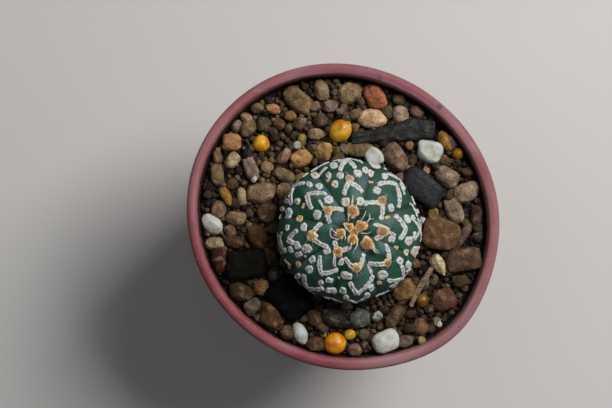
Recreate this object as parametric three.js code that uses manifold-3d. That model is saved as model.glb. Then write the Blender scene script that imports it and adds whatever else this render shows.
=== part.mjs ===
// Star cactus in a round plastic pot topped with gravel.
// Millimetres, +Z up, origin at the middle of the pot's base.

import * as THREE from "three";
import { mergeVertices } from "three/addons/utils/BufferGeometryUtils.js";
import Module from "manifold-3d";

const wasm = await Module();
wasm.setup();

const DEG = Math.PI / 180;
const CLEARANCE = 0.3; // free space between neighbouring pieces

// Pot
const POT_HEIGHT = 55;
const POT_SIDES = 44;
const BASE_RADIUS = 22.8;
const WALL_TAPER = 0.1413; // growth of the wall's radius per mm of height
const WALL = 1.1;
const LOWER_RING = 24; // heights of the rings between base and rim
const UPPER_RING = 42;
const FOOT_HEIGHT = 1.2;
const FLOOR_TOP = 2.4;
const RIM_OVAL = 0.0285; // the soft rim is this share longer one way than the mean
const RIM_OVAL_ANGLE = -33.8 * DEG;
const RIM_SHIFT = 0.2; // the soft rim's middle lies this far from the base's middle
const RIM_SHIFT_ANGLE = -104 * DEG;
const BULGE_DEPTH = 1.33; // outward bulge of the rim at one side
const BULGE_ANGLE = -48 * DEG;
const BULGE_WIDTH = 22 * DEG;
const LIP_WIDEN = 0.14; // the wall is thinner at the rim by this, more so at one side
const LIP_SHIFT = 0.17;
const LIP_SHIFT_ANGLE = 196 * DEG;
const LIP_OVAL = 0.15; // and the inner edge is oval on its own
const LIP_OVAL_ANGLE = -22.5 * DEG;
const FOOT_INNER = 20.5; // foot ring under the base
const FOOT_OUTER = 22.2;
const SKIRT_BOTTOM = 48.2; // the rim is folded outwards and down to here
const SKIRT_TOP = 52.9; // top of the groove behind the fold
const SKIRT_INNER = 30.55;
const RIM_OUTER = 31.8;
const RIM_INNER = 29.33;
const EDGE_ROUND = 0.15; // small rounding at the edges
const DRAIN_RADIUS = 2.5;
const DRAIN_SIDES = 16;
const DRAIN_CUT = 6; // length of the cutter of a drain hole
const DRAIN_CIRCLE = 14;
const DRAIN_COUNT = 6;

// Soil and gravel
const SOIL_TOP = 45.5;
const GRAVEL_BOTTOM = 45.8;
const GRAVEL_LEVEL = 52.4; // mean height of the stones' plane
const GRAVEL_SLOPE = 0.012; // the plane rises towards +X and falls towards +Y
const GRIT_BELOW = 1.2; // the grit between the stones lies this far below the plane
const GRIT_RING = 0.6; // share of the pot's radius where the grit's surface has one more ring
const STONE_SINK = 0.5; // centres of the stones below the plane
const STONE_TALL_SHARE = 0.55; // a stone's height is this share of its width and the extra below
const STONE_TALL_EXTRA = 1.1;
const STONE_FOOT = 0.4; // share of its height where a stone comes nearest to the tapered wall
const WALL_MARGIN = 0.1;
const RIM_LEVEL = 51; // height at which the room between the walls is measured
const STONE_ROUGH = 0.14;
const PRILL_ROUGH = 0.02;
const FUSED_ROUGH = 0.2;
const FILL_ROUGH = 0.22;
const FUSED_POWER = 2.4;
const BAR_SINK = 0.1; // a bar's middle lies this share of its thickness below the plane
const BAR_END = 0.25; // a bar's ends run on by this share of their width
const CACTUS_SKIRT = 1.6; // small stones reach this far under the widest line of the cactus
const FILL_TRIES = 700;
const FILL_SIZES = [2.4, 3.7];
const FILL_CLOSENESS = 0.84; // least distance of two stones, as a share of the sum of their radii
const FILL_SEED = 4711;
const BED_MERGE = 0.03; // facets flatter than this are joined

// Cactus
const CACTUS_X = 1.2;
const CACTUS_Y = -3.08;
const CACTUS_RADIUS = 14.95;
const EQUATOR = 57;
const DOME_HEIGHT = 8.9;
const UNDERSIDE_DEPTH = 11.5;
const CROWN_DIP = 0.5;
const CROWN_DIP_RADIUS = 2.6;
const LEAN_X = 0.55; // shift of the apex from the equator's middle
const LEAN_Y = 0.53;
const FURROW_DEPTH = 1.25;
const FURROW_SHARP = 2.2; // power that makes the furrows narrow and the ribs broad
const FURROW_CREST_FADE = 0.2; // share of the depth that is left at the widest line
const FLANK_INSET = 0.36; // the flank is drawn in by this much at the widest line
const FLANK_POWER = 8;
const RIBS = [-170, -127, -85, -44, 0, 46, 95, 144];
const FURROWS = [-148, -106, -65, -22, 23, 70, 120, 167];
const RIB_STATIONS = [0, 0.16, 0.34, 0.5, 0.66, 0.84]; // shares of the way from furrow to furrow
const APEX_STATIONS = [9, 18, 28, 39, 51, 64, 77, 90, 104, 119, 135, 152]; // degrees from the apex
const ROOT_RADIUS = 4;
const ROOT_TIP_RADIUS = 1.1;
const ROOT_TIP = 29.5;
const ROOT_SIDES = 12;
const HOLE_RADIUS = 6.4; // hole of the gravel bed under the body
const SPACE_MARGIN = 0.25; // room around the cactus beyond the clearance
const SPACE_SIDES = 24;

// Marks of the cactus
const MARK_RAISE = 0.4;
const MARK_ROOT = 0.5; // marks reach this far into the skin
const MARK_MERGE = 0.03;
const CHEVRON_WIDTH = 1.15;
const WOOL_RAISE = 0.85; // per mm of radius
const DOT_SIDES = 6;
const WOOL_SIDES = 7;
const FLAT_CROWN = 20 * DEG; // nearer to the apex the skin is taken as flat when a mark is laid out

// Chevrons: the point and the two arm ends, each as apex angle and bearing in degrees
const CHEVRONS = [
  [[39, 94], [29, 104], [32, 76]], [[76, 93], [55, 101], [58, 87]],
  [[31, 41], [22, 65], [24, 20]], [[60, 46], [45, 60], [46, 26]],
  [[28, -3], [17, 12], [19, -23]], [[46, 0], [38, 17], [41, -11]],
  [[41, -42], [30, -25], [31, -64]], [[77, -42], [58, -36], [58, -54]],
  [[33, -84], [24, -104], [22, -67]], [[60, -85], [46, -92], [45, -66]],
  [[21, -124], [17, -145], [15, -105]], [[46, -125], [35, -140], [36, -111]],
  [[79, -127], [63, -136], [63, -116]], [[34, -170], [26, 170], [25, -146]],
  [[60, -171], [48, -179], [54, -167]], [[25, 143], [17, 118], [19, 165]],
  [[50, 142], [37, 127], [38, 153]], [[81, 142], [66, 135], [64, 156]],
];

// Chevrons further down each rib: bearing of the rib and apex angle of the first point
const LOWER_CHEVRONS = [
  [-170, 83], [-127, 103], [-85, 84], [-44, 99], [0, 73], [46, 82], [95, 96], [144, 104],
];
const LOWER_STEP = 22;
const LOWER_END = 112;
const LOWER_ARM_UP = 12;
const LOWER_ARM_SIDE = 8;
const LOWER_WIDTH = 0.8;
const LOWER_RAISE = 0.2;

// Woolly areoles as apex angle, bearing and radius: the ribs' own and then the crown's tufts
const WOOL = [
  [43, 93, 0.86], [33, 44, 1.01], [23, -4, 1.17], [40, -43, 0.86], [31, -84, 0.96],
  [21, -123, 1.01], [33, -171, 1.07], [24, 142, 0.91],
  [3, 153, 0.96], [6, 20, 1.22], [10, -161, 1.12], [7, -92, 1.15], [13, 90, 1.32],
  [15, -45, 1.4],
];

// Dots as apex angle, bearing, and radius outwards and sideways
const DOTS = [
  [58, 133, 0.88, 0.64], [48, 127, 0.84, 0.73], [31, 129, 0.91, 0.87], [31, 158, 0.82, 0.93],
  [41, 177, 0.8, 0.86], [56, 152, 0.72, 0.71], [65, 165, 1.03, 1.18], [48, 102, 0.85, 0.76],
  [41, 111, 0.89, 0.68], [22, 105, 0.89, 0.91], [68, 105, 1.25, 0.76], [68, 123, 1.3, 0.81],
  [54, 113, 0.77, 0.52], [77, 155, 1.05, 0.48], [85, 162, 1.3, 0.49], [61, 178, 0.6, 0.61],
  [50, 84, 0.87, 0.91], [58, 77, 0.91, 0.71], [57, 71, 1.08, 0.63], [81, 69, 1.45, 1.2],
  [60, 58, 1.03, 0.65], [38, 58, 0.83, 0.82], [23, 75, 0.88, 0.77], [37, 29, 0.73, 0.84],
  [50, 11, 0.76, 0.9], [59, 11, 0.66, 0.7], [81, 16, 1.29, 0.5], [50, -164, 0.77, 0.85],
  [42, -157, 1.08, 0.92], [27, -140, 0.81, 0.75], [53, -155, 0.95, 0.68], [60, -162, 0.71, 0.74],
  [71, -163, 0.71, 0.68], [43, -143, 0.79, 0.74], [52, -137, 0.97, 0.79], [76, -139, 1.3, 0.53],
  [49, -114, 0.69, 0.77], [56, -120, 0.7, 0.55], [63, -108, 0.94, 1.12], [57, -98, 0.83, 0.76],
  [67, -94, 0.71, 0.61], [39, -97, 0.86, 1.11], [28, -109, 0.82, 0.55], [58, -71, 0.85, 0.65],
  [67, -76, 0.81, 0.7], [48, -56, 1.06, 1.04], [51, -33, 0.94, 0.76], [70, -31, 1.3, 0.78],
  [56, -22, 0.75, 0.65], [33, -14, 0.82, 0.76], [52, -11, 1.08, 0.91], [59, -5, 0.57, 0.76],
  [71, -18, 1.3, 1.18],
];

const COLOURS = {
  pot: 0xb4757a,
  soil: 0x4a3826,
  gravel: 0x8a6d4c,
  cactus: 0x3c7a55,
  white: 0xdfe1d6,
  charcoal: 0x2b2c2f,
  prill: 0xdfa31f,
  red: 0x9c5540,
  orange: 0xc99063,
  cream: 0xd4bf94,
  gold: 0xb98a4c,
  tan: 0xa8875f,
  brown: 0x8b6a4c,
  pink: 0xa07f6c,
  twig: 0x9a8068,
};

// Separate stones: name, middle, length, width, turn from +X, colour and shape power (2 is round)
const STONES = [
  ["charcoal_chunk_east", 16.4, 5.8, 9.2, 5.9, -36, "charcoal", 8],
  ["charcoal_chunk_west", -19.9, -10.1, 8.6, 6.2, 8, "charcoal", 4],
  ["charcoal_chunk_south", -11.0, -17.0, 9.2, 7.6, -45, "charcoal", 4],
  ["stone_brown_east", 20.1, -3.9, 7.5, 6.6, -20, "brown", 4],
  ["stone_white_northeast", 17.8, 13.3, 5.5, 4.5, -15, "white", 3],
  ["stone_white_west", -26.7, -1.7, 4.9, 3.4, -40, "white", 2],
  ["stone_white_south", 8.8, -25.7, 5.4, 4.7, 20, "white", 3],
  ["stone_white_southwest", -8.7, -24.1, 4.7, 2.8, -65, "white", 2],
  ["stone_white_north", 6.4, 12.2, 4.1, 3.6, -60, "white", 3],
  ["prill_northwest", -16.9, 14.9, 3.5, 3.5, 0, "prill", 2],
  ["prill_north", -0.5, 17.6, 5.1, 4.5, 45, "prill", 2],
  ["prill_south", -1.6, -26.4, 4.7, 4.5, 0, "prill", 2],
  ["prill_south_small", 1.4, -24.5, 2.5, 2.2, 0, "prill", 2],
  ["prill_southeast", 16.4, -17.5, 3.0, 2.7, 90, "prill", 2],
  ["prill_northeast", 24.1, 13.0, 2.5, 2.5, 0, "prill", 2],
  ["stone_red_north", 6.6, 24.5, 5.5, 3.9, -60, "red", 3],
  ["stone_red_southeast", 20.6, -17.1, 5.3, 4.5, 20, "red", 3],
  ["stone_orange_north", 6.1, 20.1, 6.4, 4.0, 0, "orange", 2],
  ["stone_brown_southeast", 25.0, -9.2, 7.2, 4.6, 10, "brown", 4],
  ["stone_cream_east", 19.7, -10.1, 4.9, 2.7, -60, "cream", 2],
  ["stone_cream_northeast", 25.3, 4.9, 5.8, 3.9, 20, "cream", 2.4],
];

// Stones fused into the bed: middle, length, width and turn
const BED_STONES = [
  [-9.3, 24.3, 7.0, 4.3, -40], [1.3, 25.2, 5.1, 4.5, 40], [-8.6, 11.8, 4.3, 3.6, 20],
  [10.9, 12.0, 6.5, 4.4, -60], [21.5, 8.0, 5.7, 3.7, -35], [22.9, 1.1, 5.6, 3.4, -65],
  [-16.9, 4.7, 6.1, 4.5, 10], [-25.8, -9.6, 5.6, 3.5, -75], [-15.1, -21.0, 6.0, 5.4, 70],
  [12.6, -15.4, 5.2, 3.8, 45],
  [-4.3, 26.0, 4.5, 3.0, -80], [-3.9, 13.4, 3.7, 3.5, 0], [-23.2, 15.3, 4.2, 3.7, 0],
  [20.8, 15.3, 4.6, 2.5, -55], [-26.4, -5.6, 3.9, 2.5, 0], [-20.9, 3.9, 3.7, 2.1, -80],
  [-2.6, 22.7, 3.1, 2.5, 0], [-5.7, 17.0, 3.3, 2.4, 0], [-14.1, 21.8, 2.9, 2.1, -20],
  [-10.9, 20.6, 2.6, 2.1, 0], [-17.6, 22.0, 2.7, 2.0, 20], [-19.9, 20.2, 2.5, 2.0, 0],
  [-22.0, 18.6, 2.7, 2.0, 50], [-25.9, 12.2, 2.9, 2.0, -80], [-22.6, 11.4, 3.7, 2.6, 60],
  [-25.6, 8.4, 4.4, 2.9, -80], [-19.3, 18.0, 3.9, 3.1, 60], [-19.0, 9.7, 5.2, 2.7, -70],
  [-15.7, 10.1, 2.5, 2.3, 0], [-11.9, 8.3, 4.6, 2.5, -25], [-12.2, 12.3, 3.5, 2.3, 50],
  [-24.2, 4.2, 4.6, 2.0, -60], [-25.4, 1.2, 3.6, 3.0, 80], [-22.1, -0.5, 4.1, 3.1, 0],
  [-15.7, 0.6, 4.4, 3.9, 0], [-22.5, -5.5, 4.0, 2.5, 0], [-17.6, -4.6, 5.6, 4.0, -60],
  [-20.9, -15.6, 4.8, 3.9, -20], [-16.9, -14.9, 3.4, 3.0, 80], [-19.3, -19.3, 3.8, 3.2, 40],
  [-5.9, -21.2, 3.8, 3.2, -60], [-11.8, -24.8, 3.2, 2.8, 90], [-5.6, -26.6, 3.6, 3.0, 0],
  [-1.8, -21.0, 5.4, 4.6, 0], [11.6, 23.7, 2.6, 2.2, 0], [11.9, 20.7, 3.8, 3.2, -80],
  [15.2, 21.2, 3.1, 2.2, -35], [13.7, 14.7, 2.1, 1.8, -80], [23.4, 16.0, 3.0, 2.1, -50],
  [27.3, 0.0, 4.2, 2.5, 80], [24.4, -4.4, 7.0, 2.1, 53], [18.6, 0.6, 2.3, 2.2, 0],
  [16.8, -14.0, 2.8, 2.0, 80], [10.7, -20.8, 5.2, 2.9, 55], [3.4, -21.4, 4.4, 3.9, 0],
  [7.1, -20.8, 2.4, 1.8, 40], [2.5, -27.4, 3.0, 2.5, 0], [4.3, -24.4, 2.3, 2.1, 60],
  [12.8, -25.9, 3.5, 2.3, 15], [15.9, -22.7, 3.6, 2.9, -60], [19.0, -21.6, 2.2, 2.1, 0],
  [0.9, -18.5, 2.5, 2.1, 0], [24.0, -13.4, 3.4, 2.4, 20], [25.9, 9.0, 2.5, 2.0, 0],
  [3.4, 13.8, 6.0, 3.0, 0],
];

const CHARCOAL_BAR = {
  name: "charcoal_bar",
  path: [[2.2, 15.9], [6.4, 16.4], [11.0, 17.1], [15.4, 17.9], [18.2, 17.6]],
  widths: [2.1, 2.9, 3.5, 4.5, 3.5],
  thickness: 3.0,
  sides: 8,
};
const TWIG = {
  name: "twig",
  path: [[18.2, -10.9], [16.8, -13.3], [15.2, -15.8], [14.0, -18.6]],
  widths: [1.0, 1.35, 1.3, 0.9],
  thickness: 1.2,
  sides: 6,
};

// Repeatable random numbers between 0 and 1
function randomSource(seed) {
  let state = seed;
  return () => {
    state = (state * 16807) % 2147483647;
    return state / 2147483647;
  };
}

// Solids and meshes
function solidFrom(geometry) {
  const bare = new THREE.BufferGeometry();
  const source = geometry.index ? geometry.toNonIndexed() : geometry;
  bare.setAttribute("position", source.getAttribute("position"));
  const merged = mergeVertices(bare, 1e-4);
  return new wasm.Manifold(
    new wasm.Mesh({
      numProp: 3,
      vertProperties: new Float32Array(merged.attributes.position.array),
      triVerts: new Uint32Array(merged.index.array),
    }),
  );
}

function geometryFrom(solid) {
  const mesh = solid.getMesh();
  const geometry = new THREE.BufferGeometry();
  geometry.setAttribute("position", new THREE.BufferAttribute(mesh.vertProperties, 3));
  geometry.setIndex(new THREE.BufferAttribute(mesh.triVerts, 1));
  geometry.computeVertexNormals();
  return geometry;
}

function namedMesh(name, solid, colour, roughness) {
  const look = { color: COLOURS[colour], roughness, metalness: 0 };
  const material = new THREE.MeshStandardMaterial(look);
  const mesh = new THREE.Mesh(geometryFrom(solid), material);
  mesh.name = name;
  return mesh;
}

// Closed skin over rings of points, with a pole point before the first ring and after the last
function skin(firstPole, rings, lastPole) {
  const sides = rings[0].length;
  const points = [firstPole, ...rings.flat(), lastPole];
  const last = points.length - 1;
  const faces = [];
  const at = (ring, side) => 1 + ring * sides + (side % sides);
  for (let side = 0; side < sides; side++) {
    faces.push(0, at(0, side + 1), at(0, side));
    faces.push(last, at(rings.length - 1, side), at(rings.length - 1, side + 1));
    for (let ring = 0; ring + 1 < rings.length; ring++) {
      faces.push(at(ring, side), at(ring, side + 1), at(ring + 1, side + 1));
      faces.push(at(ring, side), at(ring + 1, side + 1), at(ring + 1, side));
    }
  }
  const geometry = new THREE.BufferGeometry();
  geometry.setAttribute("position", new THREE.Float32BufferAttribute(points.flat(), 3));
  geometry.setIndex(faces);
  return solidFrom(geometry);
}

// Pot walls: the mean radius at a height, and the oval, bulged radius at an angle outside and inside
function wallOutside(z) {
  return BASE_RADIUS + WALL_TAPER * z;
}

function wallInside(z) {
  return wallOutside(z) - WALL;
}

function ovalRadius(radius, z, angle) {
  const level = z / POT_HEIGHT;
  const oval = 1 + RIM_OVAL * level * Math.cos(2 * (angle - RIM_OVAL_ANGLE));
  const shift = RIM_SHIFT * level ** 2 * Math.cos(angle - RIM_SHIFT_ANGLE);
  const off = Math.atan2(Math.sin(angle - BULGE_ANGLE), Math.cos(angle - BULGE_ANGLE));
  const bulge = BULGE_DEPTH * level ** 3 * Math.exp(-((off / BULGE_WIDTH) ** 2));
  return radius * oval + shift + bulge;
}

function insideRadius(radius, z, angle) {
  const shift = LIP_SHIFT * Math.cos(angle - LIP_SHIFT_ANGLE);
  const oval = LIP_OVAL * Math.cos(2 * (angle - LIP_OVAL_ANGLE));
  return ovalRadius(radius, z, angle) + (LIP_WIDEN + shift + oval) * (z / POT_HEIGHT) ** 3;
}

function turnedRing(radius, z, reachAt) {
  return Array.from({ length: POT_SIDES }, (_, side) => {
    const angle = (2 * Math.PI * side) / POT_SIDES;
    const reach = reachAt(radius, z, angle);
    return [reach * Math.cos(angle), reach * Math.sin(angle), z];
  });
}

function outsideRings(profile) {
  return profile.map(([radius, z]) => turnedRing(radius, z, ovalRadius));
}

function insideRings(profile) {
  return profile.map(([radius, z]) => turnedRing(radius, z, insideRadius));
}

// Pot with foot ring, folded rim and drain holes
function buildPot() {
  const outside = [
    [FOOT_INNER - 0.6, FOOT_HEIGHT],
    [FOOT_INNER, 0],
    [FOOT_OUTER, 0],
    [BASE_RADIUS, 0.6],
    [wallOutside(LOWER_RING), LOWER_RING],
    [wallOutside(UPPER_RING), UPPER_RING],
    [wallOutside(SKIRT_TOP), SKIRT_TOP],
    [SKIRT_INNER + 0.25, SKIRT_TOP],
    [SKIRT_INNER, SKIRT_BOTTOM + EDGE_ROUND],
    [SKIRT_INNER + 0.3, SKIRT_BOTTOM],
    [RIM_OUTER - 0.35, SKIRT_BOTTOM + EDGE_ROUND],
    [RIM_OUTER, POT_HEIGHT - 2],
    [RIM_OUTER, POT_HEIGHT - 1.1],
    [RIM_OUTER - 0.35, POT_HEIGHT - 0.4],
    [RIM_OUTER - 0.85, POT_HEIGHT - 0.05],
    [RIM_OUTER - 1.4, POT_HEIGHT],
  ];
  const inside = [
    [RIM_INNER + 0.37, POT_HEIGHT - 0.25],
    [RIM_INNER + 0.07, POT_HEIGHT - 0.8],
    [RIM_INNER, POT_HEIGHT - 1.6],
    [wallInside(UPPER_RING), UPPER_RING],
    [wallInside(LOWER_RING), LOWER_RING],
    [wallInside(FLOOR_TOP + 1), FLOOR_TOP + 1],
    [wallInside(FLOOR_TOP) - 0.8, FLOOR_TOP],
  ];
  const rings = [...outsideRings(outside), ...insideRings(inside)];
  let pot = skin([0, 0, FOOT_HEIGHT], rings, [0, 0, FLOOR_TOP]);
  const drain = new THREE.CylinderGeometry(DRAIN_RADIUS, DRAIN_RADIUS, DRAIN_CUT, DRAIN_SIDES);
  drain.rotateX(Math.PI / 2);
  for (let hole = 0; hole <= DRAIN_COUNT; hole++) {
    const angle = (2 * Math.PI * hole) / DRAIN_COUNT;
    const reach = hole === DRAIN_COUNT ? 0 : DRAIN_CIRCLE;
    const cutter = drain.clone();
    cutter.translate(reach * Math.cos(angle), reach * Math.sin(angle), FOOT_HEIGHT);
    pot = pot.subtract(solidFrom(cutter));
  }
  return pot;
}

// Soil under the gravel, with the hole of the root
function buildSoil() {
  const bottom = FLOOR_TOP + CLEARANCE;
  const rings = insideRings([
    [wallInside(FLOOR_TOP) - 0.9 - CLEARANCE, bottom],
    [wallInside(FLOOR_TOP + 1) - CLEARANCE, FLOOR_TOP + 1.1],
    [wallInside(LOWER_RING) - CLEARANCE, LOWER_RING],
    [wallInside(UPPER_RING) - CLEARANCE, UPPER_RING],
    [wallInside(SOIL_TOP) - CLEARANCE, SOIL_TOP],
  ]);
  const soil = skin([0, 0, bottom], rings, [0, 0, SOIL_TOP]);
  return soil.subtract(rootCone(CLEARANCE, SOIL_TOP + 1));
}

function rootCone(margin, top) {
  const height = top - ROOT_TIP + margin;
  const slope = (ROOT_RADIUS - ROOT_TIP_RADIUS) / (SOIL_TOP - ROOT_TIP);
  const topRadius = ROOT_RADIUS + slope * (top - SOIL_TOP) + margin;
  const cone = new THREE.CylinderGeometry(topRadius, ROOT_TIP_RADIUS + margin, height, ROOT_SIDES);
  cone.rotateX(Math.PI / 2);
  cone.translate(CACTUS_X, CACTUS_Y, top - height / 2);
  return solidFrom(cone);
}

// Height of the plane that the gravel's stones follow
function gravelPlane(x, y) {
  return GRAVEL_LEVEL + GRAVEL_SLOPE * (x - y);
}

// Lumpy stone: a ball pushed towards a box by its power, stretched, turned and set down
function stoneSolid(stone, margin) {
  const random = randomSource(stone.seed);
  const ball = mergeVertices(
    new THREE.BufferGeometry().setAttribute(
      "position",
      new THREE.IcosahedronGeometry(1, stone.detail).getAttribute("position"),
    ),
    1e-4,
  );
  const position = ball.attributes.position;
  const half = [stone.long / 2 + margin, stone.wide / 2 + margin, stone.tall / 2 + margin];
  for (let i = 0; i < position.count; i++) {
    const d = [position.getX(i), position.getY(i), position.getZ(i)];
    const sum = d.reduce((total, part) => total + Math.abs(part) ** stone.power, 0);
    const reach = sum ** (-1 / stone.power) * (1 + stone.rough * (random() - 0.5));
    position.setXYZ(i, d[0] * reach * half[0], d[1] * reach * half[1], d[2] * reach * half[2]);
  }
  ball.rotateZ(stone.turn * DEG);
  ball.translate(stone.x, stone.y, stone.z);
  return solidFrom(ball);
}

// A stone inside the pot: its height from its width, moved clear of the wall
function settled(stone) {
  const tall = STONE_TALL_SHARE * stone.wide + STONE_TALL_EXTRA;
  const cos = Math.cos(stone.turn * DEG);
  const sin = Math.sin(stone.turn * DEG);
  const distance = Math.hypot(stone.x, stone.y);
  const angle = Math.atan2(stone.y, stone.x);
  const along = Math.cos(angle) * cos + Math.sin(angle) * sin;
  const across = Math.sin(angle) * cos - Math.cos(angle) * sin;
  const reach = Math.hypot((along * stone.long) / 2, (across * stone.wide) / 2);
  const z = gravelPlane(stone.x, stone.y) - STONE_SINK;
  const lowest = z - STONE_FOOT * tall;
  const limit = insideRadius(wallInside(lowest), lowest, angle) - CLEARANCE - WALL_MARGIN;
  const pull = Math.min(1, (limit - reach) / distance);
  return { ...stone, x: stone.x * pull, y: stone.y * pull, z, tall };
}

// Bar of uneven width laid along a path in the gravel plane
function barSolid(bar, margin) {
  const count = bar.path.length;
  const rings = bar.path.map(([x, y], station) => {
    const before = bar.path[Math.max(0, station - 1)];
    const after = bar.path[Math.min(count - 1, station + 1)];
    const heading = Math.atan2(after[1] - before[1], after[0] - before[0]);
    const halfWidth = bar.widths[station] / 2 + margin;
    const thinner = Math.min(1, bar.widths[station] / bar.widths[1]);
    const halfThick = (bar.thickness * thinner) / 2 + margin;
    const middle = gravelPlane(x, y) - BAR_SINK * bar.thickness;
    return Array.from({ length: bar.sides }, (_, side) => {
      const turn = (2 * Math.PI * (side + 0.5)) / bar.sides;
      const across = halfWidth * Math.cos(turn);
      return [
        x - across * Math.sin(heading),
        y + across * Math.cos(heading),
        middle + halfThick * Math.sin(turn),
      ];
    });
  });
  const ends = [0, count - 1].map((station) => {
    const inner = bar.path[station === 0 ? 1 : count - 2];
    const [x, y] = bar.path[station];
    const length = Math.hypot(x - inner[0], y - inner[1]);
    const beyond = (BAR_END * bar.widths[station] + margin) / length;
    return [
      x + (x - inner[0]) * beyond,
      y + (y - inner[1]) * beyond,
      gravelPlane(x, y) - BAR_SINK * bar.thickness,
    ];
  });
  return skin(ends[0], rings, ends[1]);
}

// Small stones that fill the space left between the others
function fillStones(placed) {
  const random = randomSource(FILL_SEED);
  const all = placed.map(({ x, y, long, wide }) => ({ x, y, radius: (long + wide) / 4 }));
  const added = [];
  for (let attempt = 0; attempt < FILL_TRIES; attempt++) {
    const angle = 2 * Math.PI * random();
    const out = Math.sqrt(random());
    const long = FILL_SIZES[0] + (FILL_SIZES[1] - FILL_SIZES[0]) * random() ** 2;
    const wide = long * (0.68 + 0.3 * random());
    const turn = Math.round(180 * random());
    const room = insideRadius(wallInside(RIM_LEVEL), RIM_LEVEL, angle) - CLEARANCE;
    const reach = out * (room - long / 2);
    const x = reach * Math.cos(angle);
    const y = reach * Math.sin(angle);
    const radius = (long + wide) / 4;
    const fromCactus = Math.hypot(x - CACTUS_X, y - CACTUS_Y);
    const free = all.every(
      (other) => Math.hypot(x - other.x, y - other.y) > FILL_CLOSENESS * (radius + other.radius),
    );
    if (free && fromCactus > CACTUS_RADIUS - CACTUS_SKIRT + radius / 2) {
      const form = { power: FUSED_POWER, rough: FILL_ROUGH, detail: 0, seed: 9000 + attempt };
      all.push({ x, y, radius });
      added.push({ x, y, long, wide, turn, ...form });
    }
  }
  return added;
}

// Bed of grit and small stones, with a dimple under each separate stone and a hole for the cactus
function buildGravelBed(stones, cutters) {
  const ringAt = (share) =>
    Array.from({ length: POT_SIDES }, (_, side) => {
      const angle = (2 * Math.PI * side) / POT_SIDES;
      const rough = insideRadius(wallInside(RIM_LEVEL), RIM_LEVEL, angle);
      const level = gravelPlane(rough * Math.cos(angle), rough * Math.sin(angle)) - GRIT_BELOW;
      const reach = share * (insideRadius(wallInside(level), level, angle) - CLEARANCE);
      const x = reach * Math.cos(angle);
      const y = reach * Math.sin(angle);
      return [x, y, gravelPlane(x, y) - GRIT_BELOW];
    });
  const rings = [
    turnedRing(wallInside(GRAVEL_BOTTOM) - CLEARANCE, GRAVEL_BOTTOM, insideRadius),
    ringAt(1),
    ringAt(GRIT_RING),
  ];
  let bed = skin([0, 0, GRAVEL_BOTTOM], rings, [0, 0, GRAVEL_LEVEL - GRIT_BELOW]);
  bed = wasm.Manifold.union([bed, ...stones.map((stone) => stoneSolid(stone, 0))]);
  const cut = cutters.reduce((left, cutter) => left.subtract(cutter), bed);
  return cut.asOriginal().simplify(BED_MERGE);
}

// Difference of two bearings, from -180 to 180 degrees
function turnBetween(from, to) {
  return ((((to - from) % 360) + 540) % 360) - 180;
}

// Cactus skin: position over the apex angle (0 at the apex, 180 degrees under the body) and bearing
function furrowShare(bearing) {
  let nearest = 360;
  let width = 1;
  for (const furrow of FURROWS) {
    const off = Math.abs(turnBetween(furrow, bearing));
    if (off < nearest) {
      nearest = off;
      width = Math.min(...RIBS.map((rib) => Math.abs(turnBetween(furrow, rib))));
    }
  }
  return Math.max(0, 1 - nearest / width) ** FURROW_SHARP;
}

function cactusPoint(apexAngle, bearing, raise) {
  const upwards = Math.max(0, Math.cos(apexAngle));
  const fade = FURROW_CREST_FADE + (1 - FURROW_CREST_FADE) * upwards;
  const depth = FURROW_DEPTH * Math.sin(apexAngle) ** 0.8 * fade * furrowShare(bearing);
  return envelopePoint(apexAngle, bearing, raise - depth);
}

// Smooth form around the ribs' crests, raised along its normal
function envelopePoint(apexAngle, bearing, lift) {
  const sin = Math.sin(apexAngle);
  const cos = Math.cos(apexAngle);
  const height = cos > 0 ? DOME_HEIGHT : UNDERSIDE_DEPTH;
  const out = CACTUS_RADIUS * sin - FLANK_INSET * Math.abs(sin) ** FLANK_POWER;
  const dip = cos > 0 ? CROWN_DIP * Math.exp(-((out / CROWN_DIP_RADIUS) ** 2)) : 0;
  const normalOut = sin * height;
  const normalUp = cos * CACTUS_RADIUS;
  const length = Math.hypot(normalOut, normalUp);
  const reach = out + (lift * normalOut) / length;
  const rise = height * cos - dip + (lift * normalUp) / length;
  const lean = rise / DOME_HEIGHT;
  return [
    CACTUS_X + LEAN_X * lean + reach * Math.cos(bearing * DEG),
    CACTUS_Y + LEAN_Y * lean + reach * Math.sin(bearing * DEG),
    EQUATOR + rise,
  ];
}

// Length on the skin for one radian outwards and one radian sideways
function skinScale(apexAngle) {
  const height = apexAngle < Math.PI / 2 ? DOME_HEIGHT : UNDERSIDE_DEPTH;
  const outwards = Math.hypot(CACTUS_RADIUS * Math.cos(apexAngle), height * Math.sin(apexAngle));
  return [outwards, CACTUS_RADIUS * Math.sin(apexAngle)];
}

// Point of the skin that lies u outwards and v sideways of a spot, in mm
function besideSpot(apexAngle, bearing, u, v, raise) {
  if (apexAngle < FLAT_CROWN) {
    const out = CACTUS_RADIUS * Math.sin(apexAngle) + u;
    const distance = Math.hypot(out, v);
    return cactusPoint(Math.asin(distance / CACTUS_RADIUS), bearing + Math.atan2(v, out) / DEG, raise);
  }
  const [outwards, sideways] = skinScale(apexAngle);
  return cactusPoint(apexAngle + u / outwards, bearing + v / sideways / DEG, raise);
}

// Raised mark: an outline laid on the skin around a spot, rooted in the skin
function raisedMark(apexAngle, bearing, outline, rim, top) {
  const upper = outline.map(([u, v]) => besideSpot(apexAngle, bearing, u, v, rim));
  const lower = outline.map(([u, v]) => besideSpot(apexAngle, bearing, u, v, -MARK_ROOT));
  const bottom = besideSpot(apexAngle, bearing, 0, 0, -MARK_ROOT);
  return skin(bottom, [lower, upper], besideSpot(apexAngle, bearing, 0, 0, top));
}

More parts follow.
